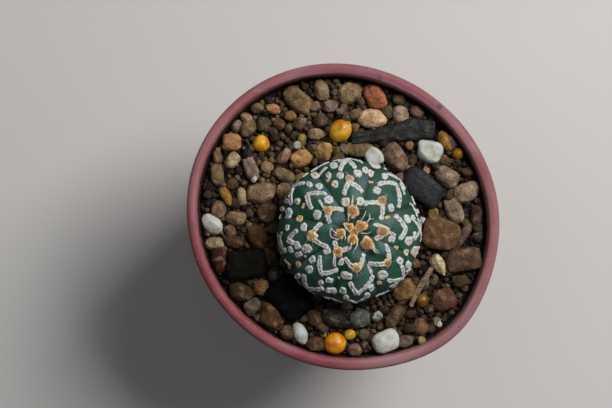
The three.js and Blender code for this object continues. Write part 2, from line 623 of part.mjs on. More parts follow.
function roundMark([apexAngle, bearing, outwards, sideways = outwards], sides, rim, top) {
  const outline = Array.from({ length: sides }, (_, side) => {
    const turn = (2 * Math.PI * side) / sides;
    return [outwards * Math.cos(turn), sideways * Math.sin(turn)];
  });
  return raisedMark(apexAngle * DEG, bearing, outline, rim, top);
}

// One arm of a chevron: a strip with blunt ends between two points of the skin
function chevronArm([angleFrom, bearingFrom], [angleTo, bearingTo], width, raise) {
  const turn = turnBetween(bearingFrom, bearingTo);
  const apexAngle = ((angleFrom + angleTo) / 2) * DEG;
  const [outwards, sideways] = skinScale(apexAngle);
  const alongU = (angleTo - angleFrom) * DEG * outwards;
  const alongV = turn * DEG * sideways;
  const length = Math.hypot(alongU, alongV);
  const acrossU = (-alongV / length) * width;
  const acrossV = (alongU / length) * width;
  const shape = [[-0.56, 0], [-0.47, -0.5], [0.42, -0.44], [0.52, 0], [0.42, 0.44], [-0.47, 0.5]];
  const outline = shape.map(([along, across]) => [
    along * alongU + across * acrossU,
    along * alongV + across * acrossV,
  ]);
  return raisedMark(apexAngle, bearingFrom + turn / 2, outline, raise, raise);
}

function bothArms([point, left, right], width, raise) {
  return [chevronArm(point, left, width, raise), chevronArm(point, right, width, raise)];
}

// Chevrons down each rib below those in the list
function lowerChevrons() {
  return LOWER_CHEVRONS.flatMap(([rib, first]) => {
    const points = [];
    for (let angle = first; angle < LOWER_END; angle += LOWER_STEP) {
      const end = (side) => [angle - LOWER_ARM_UP, rib + side * LOWER_ARM_SIDE];
      points.push([[angle, rib], end(1), end(-1)]);
    }
    return points;
  });
}

// Cactus with ribs, root, chevrons, dots and woolly areoles in one body
function buildCactus() {
  const bearings = FURROWS.flatMap((furrow, index) => {
    const next = index + 1 < FURROWS.length ? FURROWS[index + 1] : FURROWS[0] + 360;
    return RIB_STATIONS.map((share) => furrow + (next - furrow) * share);
  });
  const rings = APEX_STATIONS.map((angle) => bearings.map((at) => cactusPoint(angle * DEG, at, 0)));
  const body = skin(cactusPoint(Math.PI, 0, 0), rings.reverse(), cactusPoint(0, 0, 0));
  const upper = CHEVRONS.flatMap((chevron) => bothArms(chevron, CHEVRON_WIDTH, MARK_RAISE));
  const lower = lowerChevrons().flatMap((chevron) => bothArms(chevron, LOWER_WIDTH, LOWER_RAISE));
  const dots = DOTS.map((dot) => roundMark(dot, DOT_SIDES, 0.6 * MARK_RAISE, MARK_RAISE));
  const wool = WOOL.map((tuft) => {
    const raise = WOOL_RAISE * tuft[2];
    return roundMark(tuft, WOOL_SIDES, 0.55 * raise, raise);
  });
  const root = rootCone(0, SOIL_TOP + 1.4);
  const whole = wasm.Manifold.union([body, root, ...upper, ...lower, ...dots, ...wool]);
  return whole.asOriginal().simplify(MARK_MERGE);
}

// Space that the cactus takes, used to clear the gravel around it
function cactusSpace() {
  const plain = CLEARANCE + SPACE_MARGIN;
  const marked = plain + MARK_RAISE;
  const stations = [
    [155, plain],
    [135, plain],
    [119, marked],
    [108, marked],
    [90, marked],
    [50, marked],
    [20, marked],
  ];
  const rings = stations.map(([angle, margin]) =>
    Array.from({ length: SPACE_SIDES }, (_, side) =>
      envelopePoint(angle * DEG, (360 * side) / SPACE_SIDES, margin),
    ),
  );
  const below = [CACTUS_X, CACTUS_Y, EQUATOR - UNDERSIDE_DEPTH - 1];
  const above = [CACTUS_X, CACTUS_Y, EQUATOR + DOME_HEIGHT + 4];
  return skin(below, rings, above);
}

function underHole() {
  const hole = new THREE.CylinderGeometry(HOLE_RADIUS, HOLE_RADIUS, 8, 16);
  hole.rotateX(Math.PI / 2);
  hole.translate(CACTUS_X, CACTUS_Y, GRAVEL_BOTTOM);
  return solidFrom(hole);
}

// Whole plant
const plant = new THREE.Group();
plant.add(namedMesh("pot", buildPot(), "pot", 0.55));
plant.add(namedMesh("soil", buildSoil(), "soil", 0.95));
plant.add(namedMesh("cactus", buildCactus(), "cactus", 0.6));

const cactusRoom = cactusSpace();
const taken = [];
for (const bar of [CHARCOAL_BAR, TWIG]) {
  const solid = barSolid(bar, 0);
  const colour = bar === TWIG ? "twig" : "charcoal";
  plant.add(namedMesh(bar.name, solid, colour, 0.85));
  taken.push(barSolid(bar, CLEARANCE));
}
const separate = STONES.map(([name, x, y, long, wide, turn, colour, power], index) => {
  const rough = colour === "prill" ? PRILL_ROUGH : STONE_ROUGH;
  const detail = long < 3.2 ? 0 : 1;
  return settled({ name, x, y, long, wide, turn, colour, power, rough, detail, seed: 100 + 17 * index });
});
for (const stone of separate) {
  const room = [cactusRoom, ...taken];
  const whole = stoneSolid(stone, 0);
  const cut = room.reduce((left, cutter) => left.subtract(cutter), whole);
  const solid = cut.asOriginal().simplify(BED_MERGE);
  const roughness = stone.colour === "prill" ? 0.3 : 0.85;
  plant.add(namedMesh(stone.name, solid, stone.colour, roughness));
  taken.push(stoneSolid(stone, CLEARANCE));
}
const fused = BED_STONES.map(([x, y, long, wide, turn], index) => {
  const form = { power: FUSED_POWER, rough: FUSED_ROUGH, detail: 0, seed: 5000 + 31 * index };
  return settled({ x, y, long, wide, turn, ...form });
});
const barStations = [CHARCOAL_BAR, TWIG].flatMap(({ path, widths }) =>
  path.map(([x, y], station) => ({ x, y, long: widths[station] + 1, wide: widths[station] + 1 })),
);
const fill = fillStones([...separate, ...fused, ...barStations]);
const bedStones = [...fused, ...fill.map(settled)];
const bed = buildGravelBed(bedStones, [cactusRoom, underHole(), ...taken]);
plant.add(namedMesh("gravel_bed", bed, "gravel", 0.9));

export default plant;
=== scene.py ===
"""Looks of the star cactus in its gravel-topped pot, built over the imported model.

Sizes and places are millimetres in the model's frame, and meshes are made in metres.
"""

import functools
import itertools
import math

import bmesh
import bpy
import numpy as np
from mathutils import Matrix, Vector


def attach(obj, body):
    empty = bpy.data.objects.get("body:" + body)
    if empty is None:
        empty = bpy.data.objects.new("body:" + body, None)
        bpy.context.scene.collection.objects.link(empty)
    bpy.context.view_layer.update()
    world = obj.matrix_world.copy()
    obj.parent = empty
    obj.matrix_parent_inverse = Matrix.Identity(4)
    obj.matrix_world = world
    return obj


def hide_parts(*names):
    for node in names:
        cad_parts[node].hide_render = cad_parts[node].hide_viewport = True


MM = 0.001
BODY = "root"

# Camera: straight above, at the photograph's distance
CAMERA_AT = (-7.616, 2.42, 403.6)
CAMERA_LENS = 100.0

# Stage, in metres: half width of the floor, and the place, size, power and colour of each light
FLOOR = 1.5
LIGHTS = {
    "key_light": ((0.27, 0.23, 0.45), 0.26, 2.85, (1.0, 0.98, 0.95)),
    "fill_light": ((-0.4, 0.1, 0.8), 0.5, 0.5, (0.93, 0.96, 1.0)),
}

# Pot
POT_HEIGHT = 55.0
POT_SIDES = 176
RIM_WAVE = 0.0025
RIM_RISE = 0.12
BASE_RADIUS = 22.8
WALL_TAPER = 0.1413
WALL = 1.1
RIM_OVAL = 0.0285
RIM_OVAL_ANGLE = math.radians(-33.8)
RIM_SHIFT = 0.2
RIM_SHIFT_ANGLE = math.radians(-104)
BULGE_DEPTH = 1.33
BULGE_ANGLE = math.radians(-48)
BULGE_WIDTH = math.radians(22)
LIP_WIDEN = 0.14
LIP_SHIFT = 0.17
LIP_SHIFT_ANGLE = math.radians(196)
LIP_OVAL = 0.15
LIP_OVAL_ANGLE = math.radians(-22.5)
FOOT_HEIGHT = 1.2
FOOT_INNER = 20.5
FOOT_OUTER = 22.2
FLOOR_TOP = 2.4
SKIRT_BOTTOM = 48.2
SKIRT_TOP = 52.9
SKIRT_INNER = 30.55
RIM_OUTER = 31.8
RIM_INNER = 29.33
DRAIN_RADIUS = 2.5
DRAIN_CIRCLE = 14.0
DRAIN_COUNT = 6
DRAIN_SIDES = 40
DARK_INSIDE_BELOW = 1.7
SMUDGES = [((19.8, 22.4, 54.9), 0.8), ((7.5, 28.2, 54.9), 0.45)]
STREAK_WIDTH = 0.8
STREAK_TURNS = 3.4

# Gravel
CLEARANCE = 0.3
GRAVEL_BOTTOM = 45.8
GRAVEL_LEVEL = 52.4
GRAVEL_SLOPE = 0.012
GRIT_BELOW = 1.2
STONE_SINK = 0.5
STONE_TALL_SHARE = 0.55
STONE_TALL_EXTRA = 1.1
STONE_FOOT = 0.4
STONE_FACETS = 11
LARGE_STONE = 4.0
WALL_MARGIN = 0.1
WALL_TOUCH = 0.05
OUTER_STONES = 24.0
OUTER_PUSH = 0.35
RIM_LEVEL = 51.0
FILL_TRIES = 700
FILL_SIZES = (2.4, 3.7)
FILL_CLOSENESS = 0.84
FILL_SEED = 4711
FILL_SHADE = 0.8
CACTUS_SKIRT = 1.6
PEBBLE_TRIES = 9000
PEBBLE_SIZES = (1.1, 2.5)
PEBBLE_CLOSENESS = 0.8
PEBBLE_SKIRT = 2.6
# Pebbles lie low between the stones: this factor paints their colour darker as painted shade
PEBBLE_PAINTED_SHADE = 0.44
CRUMB_COUNT = 3400
CRUMB_SIZES = (0.35, 1.05)
SMALL_CRUMB = 0.5
CRUMB_CLOSENESS = 0.62
# Crumbs lie lowest between the stones: this factor paints their colour darker as painted shade
CRUMB_PAINTED_SHADE = 0.31

# Fines that carry the gravel: share of the outer radius and height of the lower edge's rings
GRIT_COLUMNS = 300
GRIT_ROWS = 44
GRIT_INNER = 12.9
GRIT_LOW_INNER = 7.4
GRIT_EDGE = [(0.985, 47.5), (0.97, GRAVEL_BOTTOM)]

# Cactus
CACTUS_X = 1.2
CACTUS_Y = -3.08
CACTUS_RADIUS = 14.95
EQUATOR = 57.0
DOME_HEIGHT = 8.9
UNDERSIDE_DEPTH = 11.5
CROWN_DIP = 0.5
CROWN_DIP_RADIUS = 2.6
LEAN_X = 0.55
LEAN_Y = 0.53
FURROW_DEPTH = 1.25
FURROW_SHARP = 2.2
FURROW_CREST_FADE = 0.2
FLANK_INSET = 0.36
FLANK_POWER = 8
RIBS = np.array([-170, -127, -85, -44, 0, 46, 95, 144], float)
FURROWS = np.array([-148, -106, -65, -22, 23, 70, 120, 167], float)
ROOT_RADIUS = 4.0
ROOT_TIP_RADIUS = 1.1
ROOT_TIP = 29.5
SOIL_TOP = 45.5
ROOT_ROWS = 30
RIB_COLUMNS = 40
SKIN_ROWS = 130
FLAT_CROWN = math.radians(20)

# Marks of the cactus
FLECK_RAISE = 0.3
FLECK_ROOT = 0.25
CHEVRON_WIDTH = 1.15
LOWER_WIDTH = 0.8
LOWER_RAISE = 0.14
STRIP_RAISE = 0.8 * FLECK_RAISE
SCALE_RAISE = 0.22
SCALE_TONE = (206, 176, 132)
FELT_LEVELS = np.array([0.0, 0.25, 0.45, 0.62, 0.76, 0.87, 0.95, 1.0, 1.0])

# Short hairs on the flecks: number of hairs on each, and the form of one
ARM_HAIRS = 90
DOT_HAIRS = 36
STRIP_HAIRS = 30
HAIR_RADIUS = 0.03
HAIR_TONE = (226, 220, 214)
HAIR_TURNS = np.array([0, 2.094, 4.189])
HAIR_FACES = np.array([[0, 1, 3], [1, 2, 3], [2, 0, 3], [0, 2, 1]])

# Chevrons: the point and the two arm ends, each as apex angle and bearing in degrees
CHEVRONS = [
    [(39, 94), (29, 104), (32, 76)],
    [(76, 93), (55, 101), (58, 87)],
    [(31, 41), (22, 65), (24, 20)],
    [(60, 46), (45, 60), (46, 26)],
    [(28, -3), (17, 12), (19, -23)],
    [(46, 0), (38, 17), (41, -11)],
    [(41, -42), (30, -25), (31, -64)],
    [(77, -42), (58, -36), (58, -54)],
    [(33, -84), (24, -104), (22, -67)],
    [(60, -85), (46, -92), (45, -66)],
    [(21, -124), (17, -145), (15, -105)],
    [(46, -125), (35, -140), (36, -111)],
    [(79, -127), (63, -136), (63, -116)],
    [(34, -170), (26, 170), (25, -146)],
    [(60, -171), (48, -179), (54, -167)],
    [(25, 143), (17, 118), (19, 165)],
    [(50, 142), (37, 127), (38, 153)],
    [(81, 142), (66, 135), (64, 156)],
]

# Chevrons further down each rib: bearing of the rib and apex angle of the first point
LOWER_CHEVRONS = [
    (-170, 83), (-127, 103), (-85, 84), (-44, 99), (0, 73), (46, 82), (95, 96), (144, 104),
]
LOWER_STEP = 22
LOWER_END = 112
LOWER_ARM_UP = 12
LOWER_ARM_SIDE = 8

# Woolly areoles as apex angle, bearing, radius and tone (-1 grey, 0 brown, 1 golden, 2 pale)
WOOL = [
    (43, 93, 0.86, -0.9),
    (33, 44, 1.01, 0.0),
    (23, -4, 1.17, 0.1),
    (40, -43, 0.86, 0.3),
    (31, -84, 0.96, 1.5),
    (21, -123, 1.01, 0.75),
    (33, -171, 1.07, 2.0),
    (24, 142, 0.91, 1.6),
    (3, 153, 0.96, 1.0),
    (6, 20, 1.22, 1.0),
    (10, -161, 1.12, 0.9),
    (7, -92, 1.15, 1.0),
    (13, 90, 1.32, 0.5),
    (15, -45, 1.4, 0.9),
    (1.5, -60, 0.9, 1.0),
]

# Tufts in the crown and outside it: growth, height, drawn-out point, combing, spread both ways
CROWN_ANGLE = 20
CROWN_TUFT = (1.0, 0.5, 0.34, 1.0, 0.05, 0.1)
OUTER_TUFT = (1.12, 0.4, 0.12, 0.55, 0.03, 0.06)
WOOL_FIBRES = 300
MOUND_COLUMNS = 44
MOUND_ROWS = 14

# Colours of a tuft's core, wool and edge, for the tones -1, 0, 1 and 2
WOOL_TONES = [
    [(172, 150, 128), (202, 186, 166), (228, 220, 208)],
    [(142, 100, 62), (184, 144, 104), (228, 212, 188)],
    [(150, 94, 30), (228, 168, 72), (242, 224, 180)],
    [(190, 146, 92), (226, 198, 146), (240, 228, 200)],
]

# Dots as apex angle, bearing, and radius outwards and sideways
DOTS = [
    (58, 133, 0.88, 0.64), (48, 127, 0.84, 0.73), (31, 129, 0.91, 0.87), (31, 158, 0.82, 0.93),
    (41, 177, 0.8, 0.86), (56, 152, 0.72, 0.71), (65, 165, 1.03, 1.18), (48, 102, 0.85, 0.76),
    (41, 111, 0.89, 0.68), (22, 105, 0.89, 0.91), (68, 105, 1.25, 0.76), (68, 123, 1.3, 0.81),
    (54, 113, 0.77, 0.52), (77, 155, 1.05, 0.48), (85, 162, 1.3, 0.49), (61, 178, 0.6, 0.61),
    (50, 84, 0.87, 0.91), (58, 77, 0.91, 0.71), (57, 71, 1.08, 0.63), (81, 69, 1.45, 1.2),
    (60, 58, 1.03, 0.65), (38, 58, 0.83, 0.82), (23, 75, 0.88, 0.77), (37, 29, 0.73, 0.84),
    (50, 11, 0.76, 0.9), (59, 11, 0.66, 0.7), (81, 16, 1.29, 0.5), (50, -164, 0.77, 0.85),
    (42, -157, 1.08, 0.92), (27, -140, 0.81, 0.75), (53, -155, 0.95, 0.68), (60, -162, 0.71, 0.74),
    (71, -163, 0.71, 0.68), (43, -143, 0.79, 0.74), (52, -137, 0.97, 0.79), (76, -139, 1.3, 0.53),
    (49, -114, 0.69, 0.77), (56, -120, 0.7, 0.55), (63, -108, 0.94, 1.12), (57, -98, 0.83, 0.76),
    (67, -94, 0.71, 0.61), (39, -97, 0.86, 1.11), (28, -109, 0.82, 0.55), (58, -71, 0.85, 0.65),
    (67, -76, 0.81, 0.7), (48, -56, 1.06, 1.04), (51, -33, 0.94, 0.76), (70, -31, 1.3, 0.78),
    (56, -22, 0.75, 0.65), (33, -14, 0.82, 0.76), (52, -11, 1.08, 0.91), (59, -5, 0.57, 0.76),
    (71, -18, 1.3, 1.18),
]

# Dots and flecks with a golden heart as apex angle, bearing, radius of the heart and strength
WARM_HEARTS = [
    (41, 111, 0.45, 1.0), (22, 105, 0.5, 0.8), (23, 75, 0.5, 1.0), (52, -11, 0.5, 0.9),
    (56, -22, 0.8, 0.7), (68, 123, 0.9, 0.6), (71, -18, 1.1, 0.8), (81, 69, 1.2, 0.6),
    (57, 72, 0.55, 0.9), (86, 26, 1.2, 0.7),
]

# Locks of silky hair as paths seen from above, in millimetres from the apex
LOCKS = [
    [(1.8, 2.1), (2.2, 2.8), (2.5, 3.6)],
    [(2.8, 1.4), (3.3, 1.95), (4.2, 1.9)],
    [(2.8, 1.4), (3.25, 2.2), (3.0, 3.0)],
    [(-3.5, -0.7), (-4.2, -0.1), (-4.35, 0.5)],
    [(-3.6, -1.85), (-4.35, -1.55), (-4.5, -0.55), (-4.35, 0.2)],
    [(-0.4, -2.9), (-0.55, -3.6), (-0.4, -3.85)],
    [(0.75, -2.6), (0.6, -3.3), (0.05, -4.15), (-0.25, -5.05)],
    [(2.2, -0.85), (2.85, -0.9), (3.35, -0.5)],
    [(3.95, -3.6), (4.45, -4.15), (5.2, -4.45)],
    [(3.8, -3.8), (4.25, -4.5), (5.1, -4.65)],
    [(-1.55, 0.45), (-1.75, 0.75), (-1.95, 1.2)],
    [(-1.6, -1.3), (-1.45, -1.8), (-1.7, -2.3)],
    [(-0.95, 2.5), (-1.0, 1.9), (-0.85, 1.4)],
    [(-3.65, -5.45), (-3.8, -6.25), (-3.65, -7.1)],
    [(-0.2, 5.0), (-0.1, 5.8), (0.0, 6.6)],
    [(0.7, 4.8), (0.9, 5.3), (1.1, 5.8)],
]
LOCK_ROOT = 0.7
LOCK_HAIRS = 7
TUFT_HAIRS = 3
SILK_TONE = (228, 228, 218)

# Thin flecks low on the flank as two ends, each as apex angle and bearing, and the width
STRIPS = [
    [(64, 119), (69, 111), 0.81], [(86, 116), (85, 107), 0.61], [(86, 123), (86, 117), 0.61],
    [(86, 131), (86, 126), 0.61], [(36, 139), (28, 144), 0.61], [(86, 167), (86, 170), 0.61],
    [(80, 87), (72, 80), 0.61], [(68, 57), (70, 52), 0.71], [(70, 52), (74, 47), 0.46],
    [(69, 43), (61, 34), 0.71], [(86, 29), (86, 22), 0.81], [(71, 23), (69, 12), 0.51],
    [(69, 10), (75, 1), 0.51], [(86, 61), (86, 59), 0.61], [(77, -176), (72, -167), 0.4],
    [(82, -156), (77, -150), 0.61], [(85, -111), (82, -102), 0.76], [(82, -102), (86, -96), 0.76],
    [(74, -90), (86, -84), 0.51], [(74, -81), (73, -77), 0.51], [(86, -68), (86, -57), 0.91],
    [(72, -55), (75, -47), 0.61], [(32, -66), (42, -66), 0.71], [(72, 0), (82, -7), 0.51],
    [(73, -36), (86, -32), 0.51], [(86, -22), (86, -13), 0.61], [(26, -123), (33, -116), 0.51],
    [(30, -5), (35, -8), 0.61], [(73, 100), (86, 89), 0.61],
]

# Small tan scales as apex angle, bearing, and radius outwards and sideways
SCALES = [
    (48, 168, 0.76, 0.66), (47, 154, 0.25, 0.61), (49, 116, 0.35, 0.41), (86, 117, 0.25, 0.25),
    (58, 72, 0.41, 0.51), (45, 68, 0.3, 0.51), (86, 70, 0.51, 0.51), (30, 19, 0.61, 0.36),
    (67, 24, 0.41, 0.3), (62, -147, 0.76, 0.71), (86, -149, 0.61, 0.51), (56, -62, 0.51, 0.51),
    (41, -22, 0.56, 0.36), (48, -150, 0.25, 0.25), (44, -105, 0.3, 0.3), (62, -106, 0.3, 0.41),
    (84, 163, 0.25, 0.36),
]

# Grey-blue waxy bloom as apex angle, bearing and the half widths both ways
BLOOM = [
    (34, 127, 20, 9),
    (46, 134, 12, 7),
    (32, 17, 14, 9),
    (30, -25, 9, 10),
    (14, 160, 8, 40),
    (44, 77, 12, 8),
    (30, 84, 9, 10),
    (16, -70, 8, 30),
    (50, 12, 12, 6),
    (44, 60, 8, 8),
]

# Colours as seen, red, green and blue from 0 to 255
TONES = {
    "tan": (178, 150, 114),
    "olive": (146, 124, 88),
    "gold": (206, 166, 102),
    "pink": (166, 134, 112),
    "grey": (160, 142, 124),
    "brown": (128, 96, 68),
    "red": (134, 76, 56),
    "maroon": (100, 50, 36),
    "rust": (160, 117, 68),
    "umber": (116, 84, 42),
    "sand": (214, 188, 160),
    "slate": (122, 126, 124),
    "amber": (206, 152, 70),
    "cream": (206, 190, 150),
    "orange": (206, 150, 108),
    "dark": (70, 60, 52),
    "white": (210, 212, 204),
    "charcoal": (34, 34, 38),
    "prill": (232, 176, 40),
}

# Kinds of separate stones: slot, share of worn facets and lumpiness
STONE_KINDS = {
    "charcoal": ("charcoal", 0.55, 0.07),
    "white": ("white_stone", 0.7, 0.04),
    "prill": ("prill_coat", 0.0, 0.03),
    "brown": ("brown_stone", 0.9, 0.05),
    "red": ("red_stone", 0.65, 0.1),
    "orange": ("orange_stone", 0.05, 0.04),
    "cream": ("cream_stone", 0.65, 0.1),
}

# Colours of single stones, and of the charcoal and prills, which have materials of their own: the north red
# stone is painted lighter as painted light, the west and south charcoal chunks darker as painted shade
STONE_TONES = {
    "stone_brown_east": (124, 92, 64),
    "stone_brown_southeast": (110, 84, 64),
    # Painted light: the north red stone is painted lighter than its own red, against the shade it lies in
    "stone_red_north": (184, 114, 80),
    "stone_red_southeast": (114, 72, 56),
    "stone_orange_north": (244, 202, 160),
    "stone_cream_east": (230, 210, 166),
    "stone_cream_northeast": (176, 152, 128),
}
COAT_TONES = {
    "prill_northwest": (244, 196, 44),
    "prill_north": (226, 184, 52),
    "prill_south": (232, 168, 36),
    "prill_south_small": (206, 176, 40),
    "prill_southeast": (124, 100, 22),
    "prill_northeast": (160, 114, 16),
    "charcoal_chunk_east": (28, 28, 33),
    # Charcoal black and painted shade: the west and south chunks are painted darker for the cactus's shadow
    # over them
    "charcoal_chunk_west": (15, 14, 10),
    "charcoal_chunk_south": (6, 6, 6),
}
DUSTY_UNSHADED_CHUNK = "charcoal_chunk_east"

# Separate stones: name, middle, length, width, turn from +X, colour and shape power
STONES = [
    ("charcoal_chunk_east", 16.4, 5.8, 9.2, 5.9, -36, "charcoal", 5),
    ("charcoal_chunk_west", -19.9, -10.1, 8.6, 6.2, 8, "charcoal", 4),
    ("charcoal_chunk_south", -11.0, -17.0, 9.2, 7.6, -45, "charcoal", 4),
    ("stone_brown_east", 20.1, -3.9, 7.5, 6.6, -20, "brown", 4),
    ("stone_white_northeast", 17.8, 13.3, 5.5, 4.5, -15, "white", 3),
    ("stone_white_west", -26.7, -1.7, 4.9, 3.4, -40, "white", 2),
    ("stone_white_south", 8.8, -25.7, 5.4, 4.7, 20, "white", 3),
    ("stone_white_southwest", -8.7, -24.1, 4.7, 2.8, -65, "white", 2),
    ("stone_white_north", 6.4, 12.2, 4.1, 3.6, -60, "white", 3),
    ("prill_northwest", -16.9, 14.9, 3.5, 3.5, 0, "prill", 2),
    ("prill_north", -0.5, 17.6, 5.1, 4.5, 45, "prill", 2),
    ("prill_south", -1.6, -26.4, 4.7, 4.5, 0, "prill", 2),
    ("prill_south_small", 1.4, -24.5, 2.5, 2.2, 0, "prill", 2),
    ("prill_southeast", 16.4, -17.5, 3.0, 2.7, 90, "prill", 2),
    ("prill_northeast", 24.1, 13.0, 2.5, 2.5, 0, "prill", 2),
    ("stone_red_north", 6.6, 24.5, 5.5, 3.9, -60, "red", 3),
    ("stone_red_southeast", 20.6, -17.1, 5.3, 4.5, 20, "red", 3),
    ("stone_orange_north", 6.1, 20.1, 6.4, 4.0, 0, "orange", 2),
    ("stone_brown_southeast", 25.0, -9.2, 7.2, 4.6, 10, "brown", 4),
    ("stone_cream_east", 19.7, -10.1, 4.9, 2.7, -60, "cream", 2),
    ("stone_cream_northeast", 25.3, 4.9, 5.8, 3.9, 20, "cream", 2.4),
]

# Stones of the bed: middle, length, width, turn and colour
BED_STONES = [
    (-9.3, 24.3, 7.0, 4.3, -40, "olive"), (1.3, 25.2, 5.1, 4.5, 40, "tan"),
    (-8.6, 11.8, 4.3, 3.6, 20, "gold"), (10.9, 12.0, 6.5, 4.4, -60, "pink"),
    (21.5, 8.0, 5.7, 3.7, -35, "sand"), (22.9, 1.1, 5.6, 3.4, -65, "sand"),
    (-16.9, 4.7, 6.1, 4.5, 10, "tan"), (-25.8, -9.6, 5.6, 3.5, -75, "maroon"),
    (-15.1, -21.0, 6.0, 5.4, 70, "rust"), (12.6, -15.4, 5.2, 3.8, 45, "gold"),
    (-4.3, 26.0, 4.5, 3.0, -80, "tan"), (-3.9, 13.4, 3.7, 3.5, 0, "gold"),
    (-23.2, 15.3, 4.2, 3.7, 0, "orange"), (20.8, 15.3, 4.6, 2.5, -55, "amber"),
    (-26.4, -5.6, 3.9, 2.5, 0, "sand"), (-20.9, 3.9, 3.7, 2.1, -80, "cream"),
    (-2.6, 22.7, 3.1, 2.5, 0, "grey"), (-5.7, 17.0, 3.3, 2.4, 0, "tan"),
    (-14.1, 21.8, 2.9, 2.1, -20, "orange"), (-10.9, 20.6, 2.6, 2.1, 0, "rust"),
    (-17.6, 22.0, 2.7, 2.0, 20, "olive"), (-19.9, 20.2, 2.5, 2.0, 0, "tan"),
    (-22.0, 18.6, 2.7, 2.0, 50, "grey"), (-25.9, 12.2, 2.9, 2.0, -80, "olive"),
    (-22.6, 11.4, 3.7, 2.6, 60, "cream"), (-25.6, 8.4, 4.4, 2.9, -80, "olive"),
    (-19.3, 18.0, 3.9, 3.1, 60, "olive"), (-19.0, 9.7, 5.2, 2.7, -70, "grey"),
    (-15.7, 10.1, 2.5, 2.3, 0, "tan"), (-11.9, 8.3, 4.6, 2.5, -25, "olive"),
    (-12.2, 12.3, 3.5, 2.3, 50, "pink"), (-24.2, 4.2, 4.6, 2.0, -60, "amber"),
    (-25.4, 1.2, 3.6, 3.0, 80, "tan"), (-22.1, -0.5, 4.1, 3.1, 0, "tan"),
    (-15.7, 0.6, 4.4, 3.9, 0, "brown"), (-22.5, -5.5, 4.0, 2.5, 0, "umber"),
    (-17.6, -4.6, 5.6, 4.0, -60, "umber"), (-20.9, -15.6, 4.8, 3.9, -20, "umber"),
    (-16.9, -14.9, 3.4, 3.0, 80, "gold"), (-19.3, -19.3, 3.8, 3.2, 40, "grey"),
    (-5.9, -21.2, 3.8, 3.2, -60, "brown"), (-11.8, -24.8, 3.2, 2.8, 90, "brown"),
    (-5.6, -26.6, 3.6, 3.0, 0, "brown"), (-1.8, -21.0, 5.4, 4.6, 0, "dark"),
    (11.6, 23.7, 2.6, 2.2, 0, "olive"), (11.9, 20.7, 3.8, 3.2, -80, "sand"),
    (15.2, 21.2, 3.1, 2.2, -35, "pink"), (13.7, 14.7, 2.1, 1.8, -80, "orange"),
    (23.4, 16.0, 3.0, 2.1, -50, "grey"), (27.3, 0.0, 4.2, 2.5, 80, "brown"),
    (24.4, -4.4, 7.0, 2.1, 53, "pink"), (18.6, 0.6, 2.3, 2.2, 0, "gold"),
    (16.8, -14.0, 2.8, 2.0, 80, "tan"), (10.7, -20.8, 5.2, 2.9, 55, "brown"),
    (3.4, -21.4, 4.4, 3.9, 0, "slate"), (7.1, -20.8, 2.4, 1.8, 40, "white"),
    (2.5, -27.4, 3.0, 2.5, 0, "pink"), (4.3, -24.4, 2.3, 2.1, 60, "olive"),
    (12.8, -25.9, 3.5, 2.3, 15, "grey"), (15.9, -22.7, 3.6, 2.9, -60, "orange"),
    (19.0, -21.6, 2.2, 2.1, 0, "cream"), (0.9, -18.5, 2.5, 2.1, 0, "tan"),
    (24.0, -13.4, 3.4, 2.4, 20, "brown"), (25.9, 9.0, 2.5, 2.0, 0, "brown"),
    (3.4, 13.8, 6.0, 3.0, 0, "olive"),
]

# Bearing and factor of painted shade on the gravel: how much darker its colour is painted at each bearing
GRAVEL_PAINTED_SHADE = [
    (-180, 0.7), (-150, 0.46), (-125, 0.42), (-90, 0.74), (-45, 0.46), (0, 0.46), (45, 0.7), (85, 0.88),
    (140, 1), (180, 0.7),
]

# Hollows where the small stones' colour is painted darker as painted shade: middle and radius
HOLLOWS = [(-16.2, 19.1, 2.0), (-4.5, 19.9, 1.5), (-13.2, 16.0, 1.8), (-28.3, 4.3, 2.4), (-14.1, -12.0, 2.0)]
HOLLOW_SHADE = 0.45

# Single pebbles that lie on the bed: middle, size and colour
PEBBLES = [
    (-9.5, 14.5, 1.6, "white"), (-18.4, 7.5, 1.5, "white"), (-0.6, 21.5, 1.7, "grey"),
    (19.9, -22.3, 1.5, "white"), (16.2, -25.7, 1.7, "tan"), (16.4, -1.0, 1.5, "white"),
    (17.2, 9.3, 1.5, "orange"), (-28.0, 4.3, 1.8, "dark"),
]

# Colours that the small stones and the crumbs are drawn from
FILL_COLOURS = ("tan", "olive", "brown", "pink", "grey", "dark", "tan", "brown", "gold", "olive", "dark")
CRUMB_COLOURS = ("tan", "brown", "dark", "olive", "dark", "pink", "cream")

# Bars: path of the middle, widths and thickness
CHARCOAL_PATH = [(2.2, 15.9), (6.4, 16.4), (11.0, 17.1), (15.4, 17.9), (18.2, 17.6)]
CHARCOAL_WIDTHS = [2.1, 2.9, 3.5, 4.5, 3.5]
CHARCOAL_THICKNESS = 3.0
TWIG_PATH = [(18.2, -10.9), (16.8, -13.3), (15.2, -15.8), (14.0, -18.6)]
TWIG_WIDTHS = [1.0, 1.35, 1.3, 0.9]
TWIG_THICKNESS = 1.2
BAR_SINK = 0.1
BAR_END = 0.25


# Numbers

def random_source(seed):
    """Repeatable random numbers between 0 and 1, the same as in the solid model."""
    state = seed

    def draw():
        nonlocal state
        state = (state * 16807) % 2147483647
        return state / 2147483647

    return draw


def smooth_noise(points, size, seed):
    """Smooth random field from -1 to 1 with cells of the given size."""
    grid = points / size
    cell = np.floor(grid).astype(np.int64)
    part = grid - cell
    ease = part * part * (3 - 2 * part)
    total = np.zeros(len(points))
    for corner in itertools.product((0, 1), repeat=3):
        key = cell + corner
        mixed = key[:, 0] * 73856093 ^ key[:, 1] * 19349663 ^ key[:, 2] * 83492791 ^ (seed * 97531 + 7)
        mixed = (mixed ^ (mixed >> 13)) * 1274126177
        value = ((mixed ^ (mixed >> 16)) & 0xFFFF) / 32767.5 - 1
        total += np.prod(np.where(corner, ease, 1 - ease), axis=1) * value
    return total


